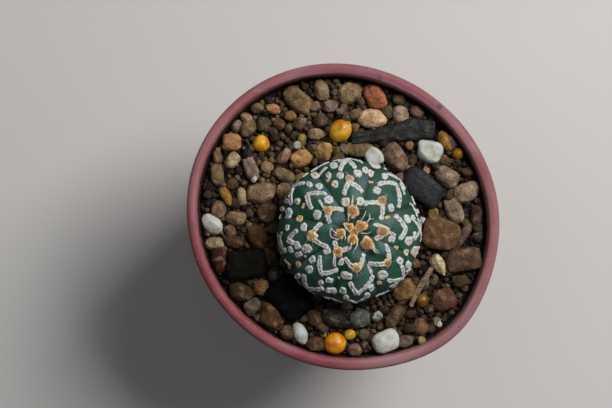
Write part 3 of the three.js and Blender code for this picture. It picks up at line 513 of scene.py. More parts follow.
def layered_noise(points, size, seed, layers=3):
    """Sum of finer and weaker layers of smooth noise."""
    total = np.zeros(len(points))
    for layer in range(layers):
        total += smooth_noise(points, size / 2**layer, seed + 31 * layer) / 2**layer
    return total


def rounded(line, times):
    """Open line of points with its corners cut the given number of times."""
    line = np.array(line, float)
    for _ in range(times):
        near = 0.75 * line[:-1] + 0.25 * line[1:]
        far = 0.25 * line[:-1] + 0.75 * line[1:]
        inner = np.stack([near, far], axis=1).reshape(-1, line.shape[1])
        line = np.concatenate([line[:1], inner[1:-1], line[-1:]])
    return line


def linear(tone):
    """Seen colour, 0 to 255, as the linear colour of a shader."""
    share = np.array(tone, float) / 255
    return np.where(share > 0.04045, ((share + 0.055) / 1.055) ** 2.4, share / 12.92)


# Meshes

def new_object(name, data):
    """Object with its data, in the scene."""
    made = bpy.data.objects.new(name, data)
    bpy.context.scene.collection.objects.link(made)
    return made


def add_mask(mesh, name, numbers):
    """One number at each point of a mesh, for its material."""
    layer = mesh.attributes.new(name, "FLOAT", "POINT")
    layer.data.foreach_set("value", np.asarray(numbers, np.float32))


def make_piece(name, points, faces, material, node=None, masks=None, tints=None):
    """Mesh object from points in millimetres and triangles, riding on the part's body."""
    mesh = bpy.data.meshes.new(name)
    mesh.vertices.add(len(points))
    mesh.vertices.foreach_set("co", (points * MM).astype(np.float32).ravel())
    mesh.loops.add(3 * len(faces))
    mesh.loops.foreach_set("vertex_index", faces.astype(np.int32).ravel())
    mesh.polygons.add(len(faces))
    mesh.polygons.foreach_set("loop_start", np.arange(0, 3 * len(faces), 3, dtype=np.int32))
    mesh.update(calc_edges=True)
    mesh.validate()
    mesh.shade_smooth()
    for key, numbers in (masks or {}).items():
        add_mask(mesh, key, numbers)
    if tints is not None:
        layer = mesh.attributes.new("tint", "FLOAT_COLOR", "POINT")
        rgba = np.concatenate([tints, np.ones((len(tints), 1))], axis=1)
        layer.data.foreach_set("color", rgba.astype(np.float32).ravel())
    mesh.materials.append(material)
    piece = new_object(name, mesh)
    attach(piece, BODY)
    if node:
        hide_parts(node)
    return piece


class Heap:
    """Collects many small meshes into the arrays of one piece."""

    def __init__(self):
        self.points = []
        self.faces = []
        self.tints = []
        self.count = 0

    def add(self, points, faces, tint):
        self.points.append(points)
        self.faces.append(faces + self.count)
        self.tints.append(np.broadcast_to(tint, (len(points), 3)))
        self.count += len(points)

    def piece(self, name, material, slot, node=None):
        points, faces, tints = map(np.concatenate, (self.points, self.faces, self.tints))
        make_piece(name, points, faces, material, node, tints=tints)


def sheet_faces(rows, columns):
    """Triangles of a grid of points, row by row, closed round the columns."""
    row = columns * np.arange(rows - 1)[:, None]
    side = np.arange(columns)
    after = (side + 1) % columns
    corners = (row + side, row + after, row + columns + after, row + columns + side)
    a, b, c, d = (corner.ravel() for corner in corners)
    return np.concatenate([np.stack([a, b, c], 1), np.stack([a, c, d], 1)])


def capped_skin(first, rings, last):
    """Closed skin over rings of points, with a pole before the first ring and after the last."""
    rings = np.asarray(rings)
    rows, columns = rings.shape[:2]
    points = np.concatenate([rings.reshape(-1, 3), [first], [last]])
    side = np.arange(columns)
    after = (side + 1) % columns
    pole = np.full(columns, rows * columns)
    end_row = (rows - 1) * columns
    start = np.stack([after, side, pole], 1)
    end = np.stack([side + end_row, after + end_row, pole + 1], 1)
    return points, np.concatenate([sheet_faces(rows, columns), start, end])


@functools.cache
def unit_sphere(level):
    """Points and triangles of a ball of radius 1."""
    ball = bmesh.new()
    bmesh.ops.create_icosphere(ball, subdivisions=level, radius=1)
    points = np.array([v.co[:] for v in ball.verts])
    faces = np.array([[v.index for v in f.verts] for f in ball.faces])
    ball.free()
    return points, faces


# Materials

class Paint:
    """Node material whose colour is built up in coats. Sizes are in millimetres."""

    def __init__(self, name, tone=(0, 0, 0), roughness=0.6, **sockets):
        self.material = bpy.data.materials.new(name)
        self.material.use_nodes = True
        self.tree = self.material.node_tree
        self.shader = self.tree.nodes["Principled BSDF"]
        self.look = linear(tone)
        self.place = self.add("TexCoord", "Object")
        named = {socket.replace("_", " "): value for socket, value in sockets.items()}
        self.feed(self.shader, {"Roughness": roughness, **named})

    def feed(self, node, inputs):
        """Values and sockets given to a node's inputs."""
        for key, value in inputs.items():
            if isinstance(value, bpy.types.NodeSocket):
                self.tree.links.new(value, node.inputs[key])
            else:
                node.inputs[key].default_value = value

    def add(self, kind, output, inputs=None, **settings):
        """Output of a new node."""
        node = self.tree.nodes.new("ShaderNode" + kind)
        for key, value in settings.items():
            setattr(node, key, value)
        self.feed(node, inputs or {})
        return node.outputs[output]

    def noise(self, size, detail, seed, turn=0.0, stretch=None):
        """Noise with features of the given size, turned and drawn out along an axis by stretch."""
        place = self.place
        if stretch:
            drawn = {"Vector": place, "Rotation": (0, 0, turn), "Scale": stretch}
            place = self.add("Mapping", "Vector", drawn)
        inputs = {"Vector": place, "W": seed, "Scale": 1 / (size * MM), "Detail": detail}
        return self.add("TexNoise", "Fac", inputs, noise_dimensions="4D")

    def cells(self, size):
        """Distance to the nearest of scattered points."""
        return self.add("TexVoronoi", "Distance", {"Vector": self.place, "Scale": 1 / (size * MM)})

    def along(self, *direction):
        """Distance along a direction from the origin, in metres."""
        return self.add("VectorMath", "Value", {0: self.place, 1: direction}, operation="DOT_PRODUCT")

    def distance(self, spot):
        """Distance from a spot, in metres."""
        metres = [part * MM for part in spot]
        return self.add("VectorMath", "Value", {0: self.place, 1: metres}, operation="DISTANCE")

    def attribute(self, name, output="Fac"):
        """Mask or tint kept at the mesh's points."""
        return self.add("Attribute", output, attribute_name=name)

    def ramp(self, factor, low, high, start=0.0, end=1.0):
        """Factor spread from low..high to start..end, and clamped."""
        inputs = {"Value": factor, "From Min": low, "From Max": high, "To Min": start, "To Max": end}
        return self.add("MapRange", "Result", inputs)

    def join(self, first, second, operation="ADD"):
        """Sum or product of two masks."""
        return self.add("Math", "Value", {0: first, 1: second}, operation=operation)

    def blend(self, factor, first, second, kind="MIX"):
        """Mix of two colours, each a linear colour or a socket."""
        inputs = {0: factor}
        for key, value in ((6, first), (7, second)):
            inputs[key] = value if isinstance(value, bpy.types.NodeSocket) else (*value, 1.0)
        return self.add("Mix", 2, inputs, data_type="RGBA", blend_type=kind)

    def coat(self, tone, mask, *spread):
        """Tone or socket laid over the colour so far by a mask, which may be spread as in ramp."""
        factor = self.ramp(mask, *spread) if spread else mask
        colour = tone if isinstance(tone, bpy.types.NodeSocket) else linear(tone)
        self.look = self.blend(factor, self.look, colour)

    def rough(self, mask, smoothest, roughest):
        """Roughness that a mask spreads over a range."""
        self.feed(self.shader, {"Roughness": self.ramp(mask, 0.3, 0.7, smoothest, roughest)})

    def done(self, *bumps):
        """Material with its colour and with bump from pairs of height and depth."""
        self.feed(self.shader, {"Base Color": self.look})
        normal = {}
        for height, depth in bumps:
            inputs = {"Height": height, "Strength": 1.0, "Distance": depth * MM, **normal}
            normal = {"Normal": self.add("Bump", "Normal", inputs)}
        self.feed(self.shader, normal)
        return self.material


def pot_material():
    """Matte dusty pink plastic, faded in places, darker towards the north, greyer towards the south-east,
    darker and redder towards the south-west as painted shade, and dark inside below the lip.
    """
    paint = Paint("pot_plastic", (160, 101, 106), Specular_IOR_Level=0.25)
    faded = (172, 126, 130)
    streak = paint.attribute("streak")
    paint.coat((132, 86, 92), paint.along(0.5, 0.86, 0), 0.008, 0.028, 0.0, 0.8)
    paint.coat((152, 122, 122), paint.along(0.8, -0.6, 0), 0.014, 0.028, 0.0, 0.55)
    paint.coat((152, 76, 86), streak, 0.25, 0.5, 0.55, 0.0)
    paint.coat(faded, streak, 0.5, 0.8, 0.0, 0.75)
    # Painted shade: the south-west side, away from the key light, is painted darker and redder
    shade = paint.ramp(paint.along(-0.72, -0.69, 0), 0.018, 0.031, -0.12, 0.34)
    paint.coat((132, 52, 63), paint.join(shade, paint.noise(14, 2, 3.0)), 0.4, 0.75, 0.0, 0.85)
    paint.coat(faded, paint.noise(2.6, 4, 8.0), 0.5, 0.72, 0.0, 0.2)
    paint.coat(faded, paint.noise(0.5, 2, 5.0), 0.5, 0.75, 0.0, 0.2)
    paint.coat((118, 84, 82), paint.noise(1.1, 5, 11.0), 0.58, 0.74, 0.0, 0.15)
    scratches = paint.noise(0.55, 4, 12.0, 0.7, (0.07, 1, 1))
    paint.coat((196, 160, 160), scratches, 0.6, 0.68, 0.0, 0.2)
    paint.coat((92, 50, 52), paint.cells(3.4), 0.055, 0.085, 0.75, 0.0)
    for spot, strength in SMUDGES:
        paint.coat((66, 58, 58), paint.distance(spot), 0.25 * MM, 0.9 * MM, strength, 0.0)
    # The inside of the wall below the lip is painted near-black
    ragged = paint.ramp(paint.noise(1.2, 3, 9.0), 0.3, 0.7, -0.35, 0.35)
    paint.coat((38, 27, 23), paint.join(paint.attribute("dark_inside"), ragged), 0.3, 0.7, 0.0, 0.93)
    paint.rough(paint.noise(1.8, 4, 1.0), 0.52, 0.72)
    scuffs = paint.noise(0.4, 3, 2.0, 0.0, (1, 1, 0.25))
    return paint.done((scuffs, 0.035), (paint.noise(6, 2, 4.0), 0.15))


def soil_material():
    """Dark crumbly soil."""
    paint = Paint("soil", (42, 32, 24), 0.95)
    crumbs = paint.noise(1.1, 4, 2.0)
    paint.coat((92, 70, 48), crumbs, 0.4, 0.7)
    return paint.done((crumbs, 0.8))


def stone_material(name, roughness, pits, shift=0.0):
    """Porous stone in its own tint, with lighter dust, darker pits and small specks."""
    paint = Paint(name, roughness=roughness, Specular_IOR_Level=0.3)
    tint = paint.attribute("tint", "Color")
    patches = paint.noise(1.6, 4, 1.0 + shift)
    grain = paint.noise(0.28, 3, 4.0 + shift)
    cells = paint.cells(0.75)
    paint.look = darker = paint.blend(1.0, tint, (0.42, 0.38, 0.34), "MULTIPLY")
    lighter = paint.blend(0.45, tint, linear((214, 196, 164)))
    paint.coat(tint, patches, 0.36, 0.62)
    paint.coat(lighter, patches, 0.56, 0.78, 0.0, 0.8)
    paint.coat(darker, grain, 0.38, 0.5, 0.75, 0.0)
    paint.look = paint.blend(paint.ramp(cells, 0.1, 0.26, pits, 0.0), paint.look, (0.02, 0.014, 0.01))
    return paint.done((patches, 0.5), (paint.join(paint.ramp(cells, 0.08, 0.3), grain), 0.12))


def grit_material():
    """Very dark fines between the stones, darker in broad patches."""
    paint = Paint("fine_grit", (22, 19, 16), 0.9, Specular_IOR_Level=0.25)
    crumbs = paint.noise(0.55, 4, 3.0)
    paint.coat((70, 58, 44), crumbs, 0.42, 0.72)
    paint.coat((24, 19, 16), paint.noise(4, 3, 6.0), 0.4, 0.65, 0.7, 0.0)
    return paint.done((crumbs, 0.5))


def charcoal_material(name, turn, tone, dust, gloss=0.3):
    """Charred wood: dark, dusted brown, with its grain running along one way."""
    paint = Paint(name, tone, Specular_IOR_Level=gloss)
    grain = paint.noise(0.35, 4, 2.0, -math.radians(turn), (0.12, 1, 1))
    patches = paint.noise(1.5, 3, 6.0)
    paint.coat([1.35 * part + 6 for part in tone], grain, 0.45, 0.75)
    paint.coat((104, 96, 90), patches, 0.55, 0.75, 0.0, dust)
    paint.rough(grain, 0.5, 0.85)
    return paint.done((grain, 0.09), (patches, 0.3))


def white_material():
    """Chalky white stone with grey grains."""
    paint = Paint("white_stone", (176, 176, 160), 0.8, Specular_IOR_Level=0.3)
    patches = paint.noise(1.2, 4, 2.0)
    grain = paint.noise(0.3, 3, 7.0)
    paint.coat((200, 205, 201), patches, 0.36, 0.58)
    paint.coat((134, 130, 116), grain, 0.34, 0.46, 0.4, 0.0)
    return paint.done((patches, 0.2), (grain, 0.06))


def prill_material(name, tone):
    """Glossy resin coat, darker where it is thick."""
    deep = (0.82 * tone[0], 0.66 * tone[1], 0.35 * tone[2])
    glow = {"Subsurface_Scale": 1.2 * MM, "Subsurface_Radius": (1.0, 0.5, 0.12)}
    paint = Paint(name, deep, Subsurface_Weight=0.25, Specular_IOR_Level=0.5, **glow)
    patches = paint.noise(1.3, 3, 2.0)
    paint.coat(tone, patches, 0.38, 0.66)
    paint.coat((120, 74, 20), paint.cells(0.9), 0.05, 0.12, 0.6, 0.0)
    paint.rough(patches, 0.26, 0.5)
    return paint.done((paint.noise(0.5, 3, 5.0), 0.05))


def twig_material():
    """Dry weathered wood with long fibres."""
    paint = Paint("twig_wood", (72, 52, 40), 0.85)
    fibres = paint.noise(0.22, 4, 3.0, math.radians(-62), (0.14, 1, 1))
    paint.coat((168, 140, 112), fibres, 0.36, 0.64)
    return paint.done((fibres, 0.15))


def skin_material():
    """Matte green skin, waxy grey-blue in the bloom patches, with painted shade towards the key light, along
    the furrows and round the tufts.
    """
    deep = (24, 60, 46)
    glow = {"Subsurface_Scale": 0.8 * MM, "Subsurface_Radius": (0.4, 1.0, 0.4)}
    paint = Paint("cactus_skin", deep, Specular_IOR_Level=0.3, Subsurface_Weight=0.06, **glow)
    broad = paint.noise(3.2, 4, 2.0)
    fine = paint.noise(0.45, 3, 5.0)
    bloom = paint.join(paint.attribute("bloom"), paint.ramp(fine, 0.2, 0.6, 0.45, 0.85), "MULTIPLY")
    paint.coat((38, 92, 68), broad, 0.34, 0.6)
    paint.coat((52, 106, 74), broad, 0.6, 0.76, 0.0, 0.7)
    paint.coat(deep, fine, 0.3, 0.5, 0.5, 0.0)
    paint.coat((94, 120, 124), bloom)
    # Painted shade: the side towards the key light is darkened
    paint.coat(deep, paint.along(0.7, 0.71, 0), 0.001, 0.01, 0.0, 0.5)
    # Painted shade along the furrows' lines and round the tufts
    paint.coat((10, 28, 20), paint.attribute("skin_painted_shade"))
    paint.coat((110, 150, 120), paint.cells(0.5), 0.06, 0.12, 0.35, 0.0)
    paint.rough(fine, 0.5, 0.68)
    return paint.done((paint.noise(1.1, 3, 8.0), 0.12), (fine, 0.03))


def fleck_material():
    """Felted white flecks: specked brown along the middle and cream beside the wool."""
    paint = Paint("cactus_flecks", (188, 182, 180), 0.95, Specular_IOR_Level=0.15, Sheen_Weight=0.2)
    masks = {"Color": paint.attribute("tint", "Color")}
    felt = paint.noise(0.2, 3, 2.0)
    heart = paint.ramp(paint.add("SeparateColor", "Red", masks), 0.0, 1.0, -0.09, 0.045)
    paint.coat((218, 226, 228), felt, 0.34, 0.54)
    paint.coat((196, 184, 164), paint.noise(1.2, 2, 6.0), 0.54, 0.7, 0.0, 0.55)
    paint.coat((226, 204, 158), paint.add("SeparateColor", "Green", masks))
    paint.coat((120, 90, 84), paint.join(paint.noise(0.24, 3, 8.0), heart), 0.52, 0.59, 0.0, 0.9)
    return paint.done((felt, 0.1))


def fibre_material(name, pale):
    """Fibres in their own tint, paler in fine bands."""
    paint = Paint(name, roughness=0.85, Specular_IOR_Level=0.25, Sheen_Weight=0.25)
    paint.look = paint.attribute("tint", "Color")
    bands = paint.noise(0.16, 2, 3.0)
    paint.coat(pale, bands, 0.45, 0.75, 0.0, 0.5)
    return paint.done((bands, 0.03))


def floor_material():
    """Pale matte table top."""
    paint = Paint("pale_floor", roughness=0.8)
    paint.look = paint.blend(paint.noise(120, 3, 1.0), (0.66, 0.65, 0.64), (0.72, 0.71, 0.70))
    return paint.done()


# Pot

def wall_outside(z):
    """Radius of the round wall's outer face."""
    return BASE_RADIUS + WALL_TAPER * z


def oval_radius(radius, z, angle):
    """Radius at an angle: the rim is a little oval and bulges at one side."""
    level = z / POT_HEIGHT
    oval = 1 + RIM_OVAL * level * np.cos(2 * (angle - RIM_OVAL_ANGLE))
    shift = RIM_SHIFT * level**2 * np.cos(angle - RIM_SHIFT_ANGLE)
    off = np.arctan2(np.sin(angle - BULGE_ANGLE), np.cos(angle - BULGE_ANGLE))
    return radius * oval + shift + BULGE_DEPTH * level**3 * np.exp(-((off / BULGE_WIDTH) ** 2))


def lip_spread(z, angle):
    """How much further out the inner wall lies: thinner towards the rim, unevenly."""
    shift = LIP_SHIFT * np.cos(angle - LIP_SHIFT_ANGLE)
    oval = LIP_OVAL * np.cos(2 * (angle - LIP_OVAL_ANGLE))
    return (LIP_WIDEN + shift + oval) * (z / POT_HEIGHT) ** 3


def inner_wall(z, angle, into=0.0):
    """Radius of the wall's inner face, or of a layer that lies into the wall."""
    return oval_radius(wall_outside(z) - WALL + into, z, angle) + lip_spread(z, angle)


def pot_profile():
    """Half section of the pot round to its floor: radius, height and share of the inner lip."""
    outside = [
        (0, FOOT_HEIGHT), (FOOT_INNER - 0.6, FOOT_HEIGHT), (FOOT_INNER, 0), (FOOT_OUTER, 0),
        (BASE_RADIUS, 0.6), *((wall_outside(z), z) for z in (4, 24, 42)),
        (wall_outside(SKIRT_TOP) - 0.02, SKIRT_TOP - 0.4), (SKIRT_INNER, SKIRT_TOP),
        (SKIRT_INNER, SKIRT_TOP - 1), (SKIRT_INNER, SKIRT_BOTTOM + 0.1),
        (SKIRT_INNER + 0.3, SKIRT_BOTTOM - 0.05), (RIM_OUTER - 0.3, SKIRT_BOTTOM + 0.05),
        (RIM_OUTER, SKIRT_BOTTOM + 1.2), (RIM_OUTER + 0.02, POT_HEIGHT - 2), (RIM_OUTER, POT_HEIGHT - 1),
        (RIM_OUTER - 0.3, POT_HEIGHT - 0.25), (RIM_OUTER - 1.1, POT_HEIGHT + 0.05),
    ]
    inside = [
        (RIM_INNER + 0.3, POT_HEIGHT - 0.1), (RIM_INNER, POT_HEIGHT - 1),
        *((wall_outside(z) - WALL, z) for z in (52, 42, 24, FLOOR_TOP + 1)),
        (wall_outside(FLOOR_TOP) - WALL - 0.8, FLOOR_TOP), (0, FLOOR_TOP),
    ]
    return [(*point, 0) for point in outside] + [(*point, 1) for point in inside]


def drain_cutter():
    """Seven round plugs that cut the drain holes."""
    cutter = bmesh.new()
    size = {"radius1": DRAIN_RADIUS * MM, "radius2": DRAIN_RADIUS * MM, "depth": 5 * FOOT_HEIGHT * MM}
    for hole in range(DRAIN_COUNT + 1):
        angle = 2 * math.pi * hole / DRAIN_COUNT
        reach = 0 if hole == DRAIN_COUNT else DRAIN_CIRCLE
        made = bmesh.ops.create_cone(cutter, cap_ends=True, segments=DRAIN_SIDES, **size)
        place = Vector((reach * math.cos(angle), reach * math.sin(angle), FOOT_HEIGHT)) * MM
        bmesh.ops.translate(cutter, verts=made["verts"], vec=place)
    mesh = bpy.data.meshes.new("drain_cutter")
    cutter.to_mesh(mesh)
    cutter.free()
    return new_object("drain_cutter", mesh)


def build_pot():
    """Pot with an uneven rim and its drain holes cut out."""
    profile = rounded(pot_profile(), 2)
    angle = np.linspace(0, 2 * math.pi, POT_SIDES, endpoint=False)
    rings = []
    for radius, z, inner in profile[1:-1]:
        reach = oval_radius(radius, z, angle) + inner * lip_spread(z, angle)
        ring = np.stack([reach * np.cos(angle), reach * np.sin(angle), np.full(POT_SIDES, z)], 1)
        upper = max(0.0, (z - 20) / 35)
        ring[:, :2] *= 1 + RIM_WAVE * upper * smooth_noise(ring * (1, 1, 0), 13, 3)[:, None]
        ring[:, 2] += RIM_RISE * upper**3 * smooth_noise(ring * (1, 1, 0), 17, 9)
        rings.append(ring)
    points, faces = capped_skin((0, 0, profile[0][1]), rings, (0, 0, profile[-1][1]))
    pot = make_piece("pot_shell", points, faces, pot_material(), "pot")
    cut = pot.modifiers.new("drain_holes", "BOOLEAN")
    cut.operation = "DIFFERENCE"
    cut.solver = "EXACT"
    cut.object = drain_cutter()
    pot.data = bpy.data.meshes.new_from_object(pot.evaluated_get(bpy.context.evaluated_depsgraph_get()))
    bpy.data.objects.remove(cut.object)
    pot.modifiers.clear()
    mask_pot(pot.data)
    pot.data.set_sharp_from_angle(angle=math.radians(55))


def mask_pot(mesh):
    """Masks of the darkened inside below the lip and of faded streaks that run round the rim."""
    points = np.zeros(3 * len(mesh.vertices))
    mesh.vertices.foreach_get("co", points)
    x, y, z = points.reshape(-1, 3).T / MM
    angle = np.arctan2(y, x)
    out = np.hypot(x, y)
    inside = (out < inner_wall(z, angle, WALL / 2)) & (z > (FOOT_HEIGHT + FLOOR_TOP) / 2)
    add_mask(mesh, "dark_inside", inside * np.clip((POT_HEIGHT - DARK_INSIDE_BELOW - z) / 1.2 + 0.5, 0, 1))
    lap = (out - oval_radius(RIM_OUTER, z, angle)) / STREAK_WIDTH + z / 2
    spots = np.stack([STREAK_TURNS * np.cos(angle), STREAK_TURNS * np.sin(angle), lap], 1)
    near_rim = np.clip((z - 30) / 15, 0, 1)
    add_mask(mesh, "streak", 0.5 + 0.35 * near_rim * layered_noise(spots, 1, 77, 2))


# Stones

def gravel_plane(x, y):
    """Height of the gravel, which slopes a little."""
    return GRAVEL_LEVEL + GRAVEL_SLOPE * (x - y)


def settled(x, y, long, wide, turn):
    """Middle and height of a stone: clear of the wall, by the solid model's rule."""
    tall = STONE_TALL_SHARE * wide + STONE_TALL_EXTRA
    angle = math.atan2(y, x)
    along = math.cos(angle - math.radians(turn)) * long / 2
    across = math.sin(angle - math.radians(turn)) * wide / 2
    z = gravel_plane(x, y) - STONE_SINK
    limit = inner_wall(z - STONE_FOOT * tall, angle) - CLEARANCE - WALL_MARGIN
    pull = min(1.0, (limit - math.hypot(along, across)) / math.hypot(x, y))
    return x * pull, y * pull, z, tall


def clear(points):
    """Points moved outwards out of the cactus, and inwards out of the pot's wall."""
    rise = np.clip((points[:, 2] - EQUATOR) / UNDERSIDE_DEPTH, -1, 0)
    body = CACTUS_RADIUS * np.sqrt(1 - rise**2) + CLEARANCE
    off = points[:, :2] - (CACTUS_X, CACTUS_Y)
    grow = np.maximum(1, body / np.maximum(np.hypot(off[:, 0], off[:, 1]), 1e-6))
    moved = points.copy()
    moved[:, :2] = (CACTUS_X, CACTUS_Y) + off * grow[:, None]
    return clear_of_wall(moved)


def clear_of_wall(points, margin=WALL_TOUCH):
    """Points moved inwards where they would lie in the pot's wall."""
    x, y, z = points.T
    limit = inner_wall(z, np.arctan2(y, x)) - margin
    moved = points.copy()
    moved[:, :2] *= np.minimum(1, limit / np.maximum(np.hypot(x, y), 1e-6))[:, None]
    return moved


def towards_wall(points):
    """Stones beside the wall moved out until they almost touch it."""
    x, y, _ = points.mean(0)
    distance = math.hypot(x, y)
    push = OUTER_PUSH * min(1.0, max(0.0, (distance - OUTER_STONES) / 2))
    return points + (push * x / distance, push * y / distance, 0)


def turned(axis, angle):
    """Rotation matrix about one of the three axes."""
    a, b = [(1, 2), (2, 0), (0, 1)][axis]
    matrix = np.eye(3)
    matrix[a, a] = matrix[b, b] = math.cos(angle)
    matrix[b, a] = math.sin(angle)
    matrix[a, b] = -matrix[b, a]
    return matrix


def stone_shape(level, half, power, facets, lumps, seed):
    """Stone around the origin: a ball pushed towards a box, with worn facets and lumps."""
    ball, faces = unit_sphere(level)
    rng = np.random.default_rng(seed)
    reach = (np.abs(ball) ** power).sum(1) ** (-1 / power)
    normals = rng.normal(size=(STONE_FACETS, 3))
    normals /= np.linalg.norm(normals, axis=1)[:, None]
    facing = np.maximum(ball @ normals.T, 1e-3) / rng.uniform(0.8, 1.12, STONE_FACETS)
    flat = (facing**9).sum(1) ** (-1 / 9)
    reach = reach * (1 - facets + facets * np.minimum(1.06, flat))
    offset = rng.uniform(0, 50, 3)
    reach *= 1 + lumps * layered_noise(ball + offset, 0.8, seed)
    reach *= 1 + 0.35 * lumps * smooth_noise(ball + offset, 0.16, seed + 5)
    return ball * reach[:, None] * half, faces


def placed_stone(level, place, half, turn, power, facets, lumps, seed, tilt=0.0):
    """Stone at a place, turned by a number of degrees and tilted at random."""
    points, faces = stone_shape(level, half, power, facets, lumps, seed)
    lean, roll = np.random.default_rng(seed + 1).uniform(-tilt, tilt, 2)
    for axis, angle in enumerate((lean, roll, math.radians(turn))):
        points = points @ turned(axis, angle).T
    return points + place, faces


def bedded_stone(row, level, **form):
    """Middle, points and faces of a stone that lies in the bed, from its row in a table."""
    _, _, long, wide, turn = row
    x, y, z, tall = settled(*row)
    points, faces = placed_stone(level, (x, y, z), np.array([long, wide, tall]) / 2, turn, **form)
    return x, y, clear(towards_wall(points)), faces


def build_separate_stones():
    """Stones, prills and charcoal chunks that are pieces of their own."""
    white = white_material()
    worn = stone_material("worn_stone", 0.85, 0.35, 3.0)
    for index, (name, *row, colour, power) in enumerate(STONES):
        slot, facets, lumps = STONE_KINDS[colour]
        material = white if colour == "white" else worn
        if colour == "prill":
            material = prill_material(name + "_coat", COAT_TONES[name])
        if colour == "charcoal":
            # The chunks other than the dusty east one get almost no dust, which keeps them darker as painted
            # shade
            dust = 0.3 if name == DUSTY_UNSHADED_CHUNK else 0.06
            material = charcoal_material(name + "_char", row[-1] + 5, COAT_TONES[name], dust, dust)
        level = 5 if row[2] > LARGE_STONE else 4
        form = {"power": power, "facets": facets, "lumps": lumps}
        _, _, points, faces = bedded_stone(row, level, seed=300 + index, **form)
        tints = np.broadcast_to(linear(STONE_TONES.get(name, TONES[colour])), points.shape)
        make_piece(name + "_fine", points, faces, material, name, tints=tints)


def build_bar(node, path, widths, thickness, material, sides, grooves, rough, seed):
    """Bar of uneven width along a path, with grooves that run along it."""
    line = rounded(path, 3)
    width = np.interp(np.linspace(0, 1, len(line)), np.linspace(0, 1, len(widths)), widths)
    heading = np.arctan2(*np.gradient(line, axis=0).T[::-1])
    turn = 2 * np.pi * (np.arange(sides) + 0.5) / sides
    cos = np.cos(turn)
    sin = np.sin(turn)
    blunt = (np.abs(cos) ** 5 + np.abs(sin) ** 5) ** (-1 / 5)
    rings = []
    for station, (x, y) in enumerate(line):
        half_thick = thickness * min(1.0, width[station] / widths[1]) / 2
        bark = np.stack([3.2 * cos, 3.2 * sin, np.full(sides, 0.12 * station)], 1)
        ridge = 1 + grooves * smooth_noise(bark, 0.6, seed)
        across = width[station] / 2 * cos * ridge * blunt
        rings.append(np.stack([
            x - across * math.sin(heading[station]),
            y + across * math.cos(heading[station]),
            gravel_plane(x, y) - BAR_SINK * thickness + half_thick * sin * ridge * blunt,
        ], 1))
    first = end_rings(rings[0], rings[1], BAR_END * widths[0])
    last = end_rings(rings[-1], rings[-2], BAR_END * widths[-1])
    rings = np.concatenate([first[::-1], rings, last])
    points, faces = capped_skin(rings[0].mean(0), rings, rings[-1].mean(0))
    points += rough * layered_noise(points, 1.5, seed)[:, None] * (0.7, 0.7, 1)
    make_piece(node + "_fine", clear_of_wall(points), faces, material, node)


def end_rings(ring, before, length):
    """Rings that close the end of a bar with a broken face."""
    middle = ring.mean(0)
    outwards = middle - before.mean(0)
    outwards = outwards / np.linalg.norm(outwards)
    return np.array([
        middle + (ring - middle) * math.sqrt(1 - share**2.5) * 0.98 + outwards * length * share
        for share in np.linspace(0, 1, 9)[1:]
    ])


def from_cactus(x, y):
    """Distance from the cactus's axis."""
    return math.hypot(x - CACTUS_X, y - CACTUS_Y)


def fill_stones(placed):
    """Small stones between the others, by the same draws as in the solid model."""
    draw = random_source(FILL_SEED)
    taken = [(x, y, (long + wide) / 4) for x, y, long, wide in placed]
    added = []
    for _ in range(FILL_TRIES):
        angle = 2 * math.pi * draw()
        out = math.sqrt(draw())
        long = FILL_SIZES[0] + (FILL_SIZES[1] - FILL_SIZES[0]) * draw() ** 2
        wide = long * (0.68 + 0.3 * draw())
        turn = math.floor(180 * draw() + 0.5)
        reach = out * (inner_wall(RIM_LEVEL, angle) - CLEARANCE - long / 2)
        x = reach * math.cos(angle)
        y = reach * math.sin(angle)
        radius = (long + wide) / 4
        free = all(
            math.hypot(x - other_x, y - other_y) > FILL_CLOSENESS * (radius + other_radius)
            for other_x, other_y, other_radius in taken
        )
        if free and from_cactus(x, y) > CACTUS_RADIUS - CACTUS_SKIRT + radius / 2:
            taken.append((x, y, radius))
            added.append((x, y, long, wide, turn))
    return added, taken


def scattered(taken, tries, sizes, closeness, seed):
    """More places for small pebbles in the room that is left, as x, y and diameter."""
    rng = np.random.default_rng(seed)
    spots = np.array(taken)
    added = []
    for _ in range(tries):
        angle = rng.uniform(0, 2 * math.pi)
        size = sizes[0] + (sizes[1] - sizes[0]) * rng.uniform() ** 1.6
        reach = math.sqrt(rng.uniform()) * (inner_wall(RIM_LEVEL, angle) - size / 2)
        x = reach * math.cos(angle)
        y = reach * math.sin(angle)
        if from_cactus(x, y) < CACTUS_RADIUS - PEBBLE_SKIRT:
            continue
        gap = np.hypot(spots[:, 0] - x, spots[:, 1] - y) - closeness * (spots[:, 2] + size / 2)
        if gap.min() > 0:
            spots = np.vstack([spots, (x, y, size / 2)])
            added.append((x, y, size))
    return added, spots


def varied(tone, rng, spread):
    """Linear colour near a tone."""
    colour = linear(TONES[tone]) * (1 + rng.uniform(-spread, spread))
    return np.clip(colour * rng.uniform(0.94, 1.06, 3), 0, 1)


def painted_shade_factor(x, y):
    """Factor that darkens the gravel's colour as painted shade, by bearing and in the hollows."""
    factor = np.interp(math.degrees(math.atan2(y, x)), *np.array(GRAVEL_PAINTED_SHADE).T)
    shaded = any(math.hypot(x - at_x, y - at_y) < radius for at_x, at_y, radius in HOLLOWS)
    return factor * (HOLLOW_SHADE if shaded else 1)


